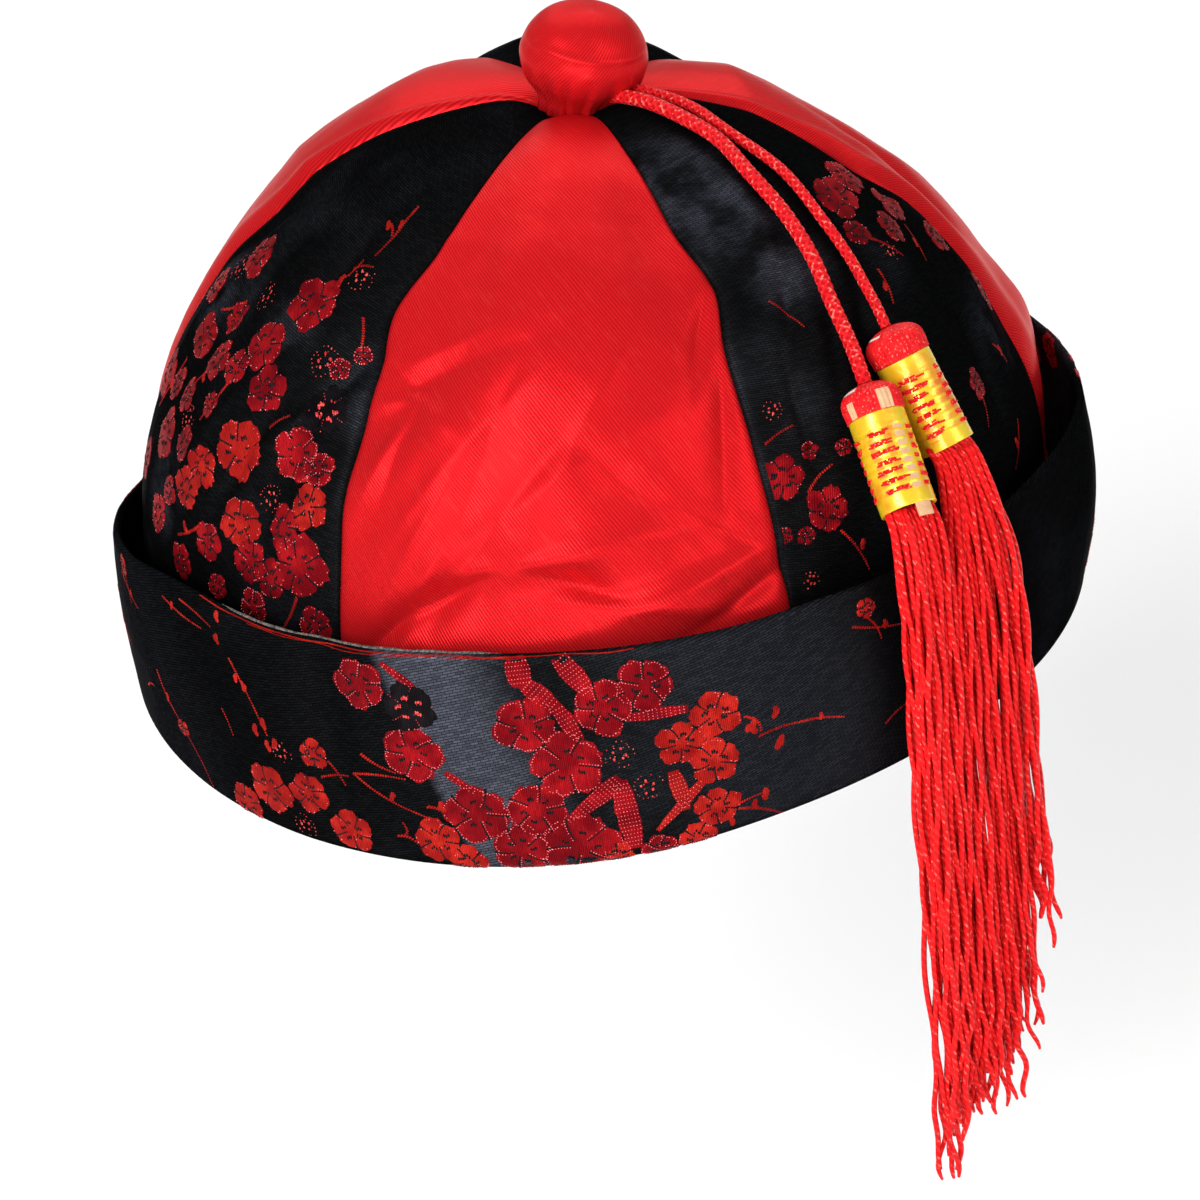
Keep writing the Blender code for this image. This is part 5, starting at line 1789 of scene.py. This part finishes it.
def fringe_thread(route, place, phase, out, across, dice):
    """One thread of a clump: it winds round the clump's middle, sways, and curls near its tip."""
    ended = [*route[:-1], route[-1] + np.array((0.0, 0.0, dice.uniform(*TIP_DRAW) * THREAD_TIP_SPREAD))]
    count = int(run_along(smooth_route(ended, ROUTE_POINTS))[-1] / THREAD_STEP)
    run = np.linspace(0.0, 1.0, count)
    down = 2 * np.pi * run * count * THREAD_STEP
    grow = ROOT_FILL + (1 - ROOT_FILL) * rise(run, 0.0, FILL_END) + TIP_SPREAD * rise(run, *TIP_FANNING) ** 2
    reach = CLUMP_SPREAD * math.sqrt(dice.uniform(*REACH_DRAW))
    spin = place + CLUMP_TURNS * 2 * math.pi * run * (1 if phase > math.pi else -1)
    wave = np.sin(down / THREAD_WAVE_LENGTH + place * SWAY_PHASE + phase)
    sway = THREAD_WAVE * wave * rise(run, 0.0, SWAY_START)
    curl = np.sin(down / TIP_WAVE_LENGTH + place * CURL_PHASE)
    sway = sway + TIP_WAVE * rise(run, CURL_START, 1.0) ** 2 * curl * dice.uniform(*CURL_DRAW)
    line = smooth_route(ended, count) + across * (reach * grow * np.cos(spin) + sway)[:, None]
    line = line + out * (reach * CLUMP_FLATNESS * grow * np.sin(spin) + OUTWARD_SWAY * sway)[:, None]
    thick = THREAD_RADIUS * dice.uniform(*THICK_DRAW) * (1 - TIP_TAPER * rise(run, TAPER_START, 1.0))
    return tube(line, thick, THREAD_SIDES)


def make_fringe(name, tassel, place, finish, dice):
    """A fringe of twisted threads that hang in wavy clumps."""
    rows = [row for row in CLUMPS if row[0] == tassel]
    middle_side = sum(row[1] for row in rows) / len(rows)
    widest = max(abs(row[1] - middle_side) for row in rows)
    middle_distance = sum(row[3] for row in rows) / len(rows)
    out = heading(HANG_ANGLE)
    across = heading(HANG_ANGLE + 90.0)
    parts = []
    for _, side, tip_side, distance, tip, threads in rows:
        root = across * (side - middle_side) * ROOT_REACH / widest
        root = root + out * (distance - middle_distance) * ROOT_DEPTH
        route = clump_route(place, out, across, root, (side, tip_side), distance, tip)
        phase = dice.uniform(0.0, 2 * math.pi)
        for thread in range(threads):
            start = 2 * math.pi * thread / threads + phase
            parts.append(fringe_thread(route, start, phase, out, across, dice))
    points, faces, uv = join_parts(parts)
    make_piece(f"{name}_threads", points, faces, [finish], "red_thread", [name], uv)


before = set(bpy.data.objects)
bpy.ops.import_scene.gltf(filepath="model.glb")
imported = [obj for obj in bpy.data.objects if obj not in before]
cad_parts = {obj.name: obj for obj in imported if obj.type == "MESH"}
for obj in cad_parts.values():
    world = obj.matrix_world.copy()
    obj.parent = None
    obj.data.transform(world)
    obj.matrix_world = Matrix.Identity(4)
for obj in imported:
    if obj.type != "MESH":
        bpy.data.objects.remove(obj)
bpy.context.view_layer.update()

make_camera()
bpy.context.scene.view_settings.view_transform = "Standard"
CORD_THREAD, WOUND_THREAD, FRINGE_THREAD = (sparkling_thread(*row) for row in SHINY_THREADS)
FOIL, ORANGE_FOIL, PAPER, CORE, FIBRE, WRONG_SIDE, PINK_GLINT_KNOT, RED_KNOT, BLACK_KNOT = (
    speckled(*row) for row in SPECKLED_FINISHES
)
HEADS = {}
for tassel, top, foot in TASSEL_AXES:
    place = head_place(top, foot)
    front = HEAD_FRONTS[tassel]
    cap = make_cap(f"cap_{tassel}", place, [WOUND_THREAD, PAPER, CORE], CAP_PATCHES[tassel], front)
    foils = [FOIL, WOUND_THREAD, PAPER, ORANGE_FOIL]
    band = make_band(f"band_{tassel}", place, foils, BAND_PATCHES[tassel], front, random.Random(tassel))
    HEADS[tassel] = (cap, band)
strip = make_strip("paper_strip_near", head_place(*TASSEL_AXES[0][1:]), PAPER, HEAD_FRONTS["near"])
make_cord("cord_near", CORD_NEAR_ROUTE, CORD_NEAR_RADIUS, CORD_THREAD, (*HEADS["near"], strip))
make_cord("cord_far", CORD_FAR_ROUTE, CORD_FAR_RADIUS, CORD_THREAD, HEADS["far"])

make_stage()
SATIN = red_satin()
BROCADE = black_brocade("gore_brocade_weave", (), GORE_PAINTED_SHEEN_CLOUDS, GORE_PAINTED_GLEAMS)
CUFF_BROCADE = black_brocade("cuff_brocade_weave", CUFF_PAINTED_SHEEN, CUFF_PAINTED_SHEEN_CLOUDS)
THREADS = {row[0]: floss(*row) for row in FLOSSES}
THREADS |= {"pink_dot": PINK_GLINT_KNOT, "red_dot": RED_KNOT, "black_dot": BLACK_KNOT}
GORE_TREES = {}
for name, step in GORES:
    finish, slot = (SATIN, "red_satin") if step % 2 == 0 else (BROCADE, "black_brocade")
    GORE_TREES[name] = surface_probe(make_gore(name, step, finish, WRONG_SIDE, slot))
cuff_tree = surface_probe(make_cuff(CUFF_BROCADE))
make_rim(cuff_tree, FIBRE, THREADS["orange_floss"])
weave_cuff(cuff_tree, 0.0, *FRONT_GROUP, random.Random("front")).build("cuff_pattern_front", THREADS)
for number, (turn, low, high) in enumerate(CUFF_REPEATS):
    repeat = weave_cuff(cuff_tree, turn, low, high, random.Random(f"cuff {number}"))
    repeat.build(f"cuff_pattern_{number + 1}", THREADS)
inner = Stitches()
for angle, height, radius in RIM_BLOSSOMS:
    place = cuff_drape(cuff_tree, angle, height, inside=True)
    inner.blossom(place, radius, angle, "plain", random.Random("rim"))
inner.build("cuff_pattern_inside", THREADS)
for name, *rows in (
    ("gore_brocade_left", LEFT_MIDDLE, 0.0, LEFT_BLOSSOMS, LEFT_TWIGS),
    ("gore_brocade_right", RIGHT_MIDDLE, 0.0, RIGHT_BLOSSOMS, RIGHT_TWIGS),
    ("gore_brocade_back", LEFT_MIDDLE, BACK_TURN, LEFT_BLOSSOMS, LEFT_TWIGS),
):
    weave_gore(GORE_TREES[name], name, *rows, random.Random(name))
make_button(SATIN)
for tassel, top, foot in TASSEL_AXES:
    dice = random.Random(f"fringe {tassel}")
    make_fringe(f"fringe_{tassel}", tassel, head_place(top, foot), FRINGE_THREAD, dice)
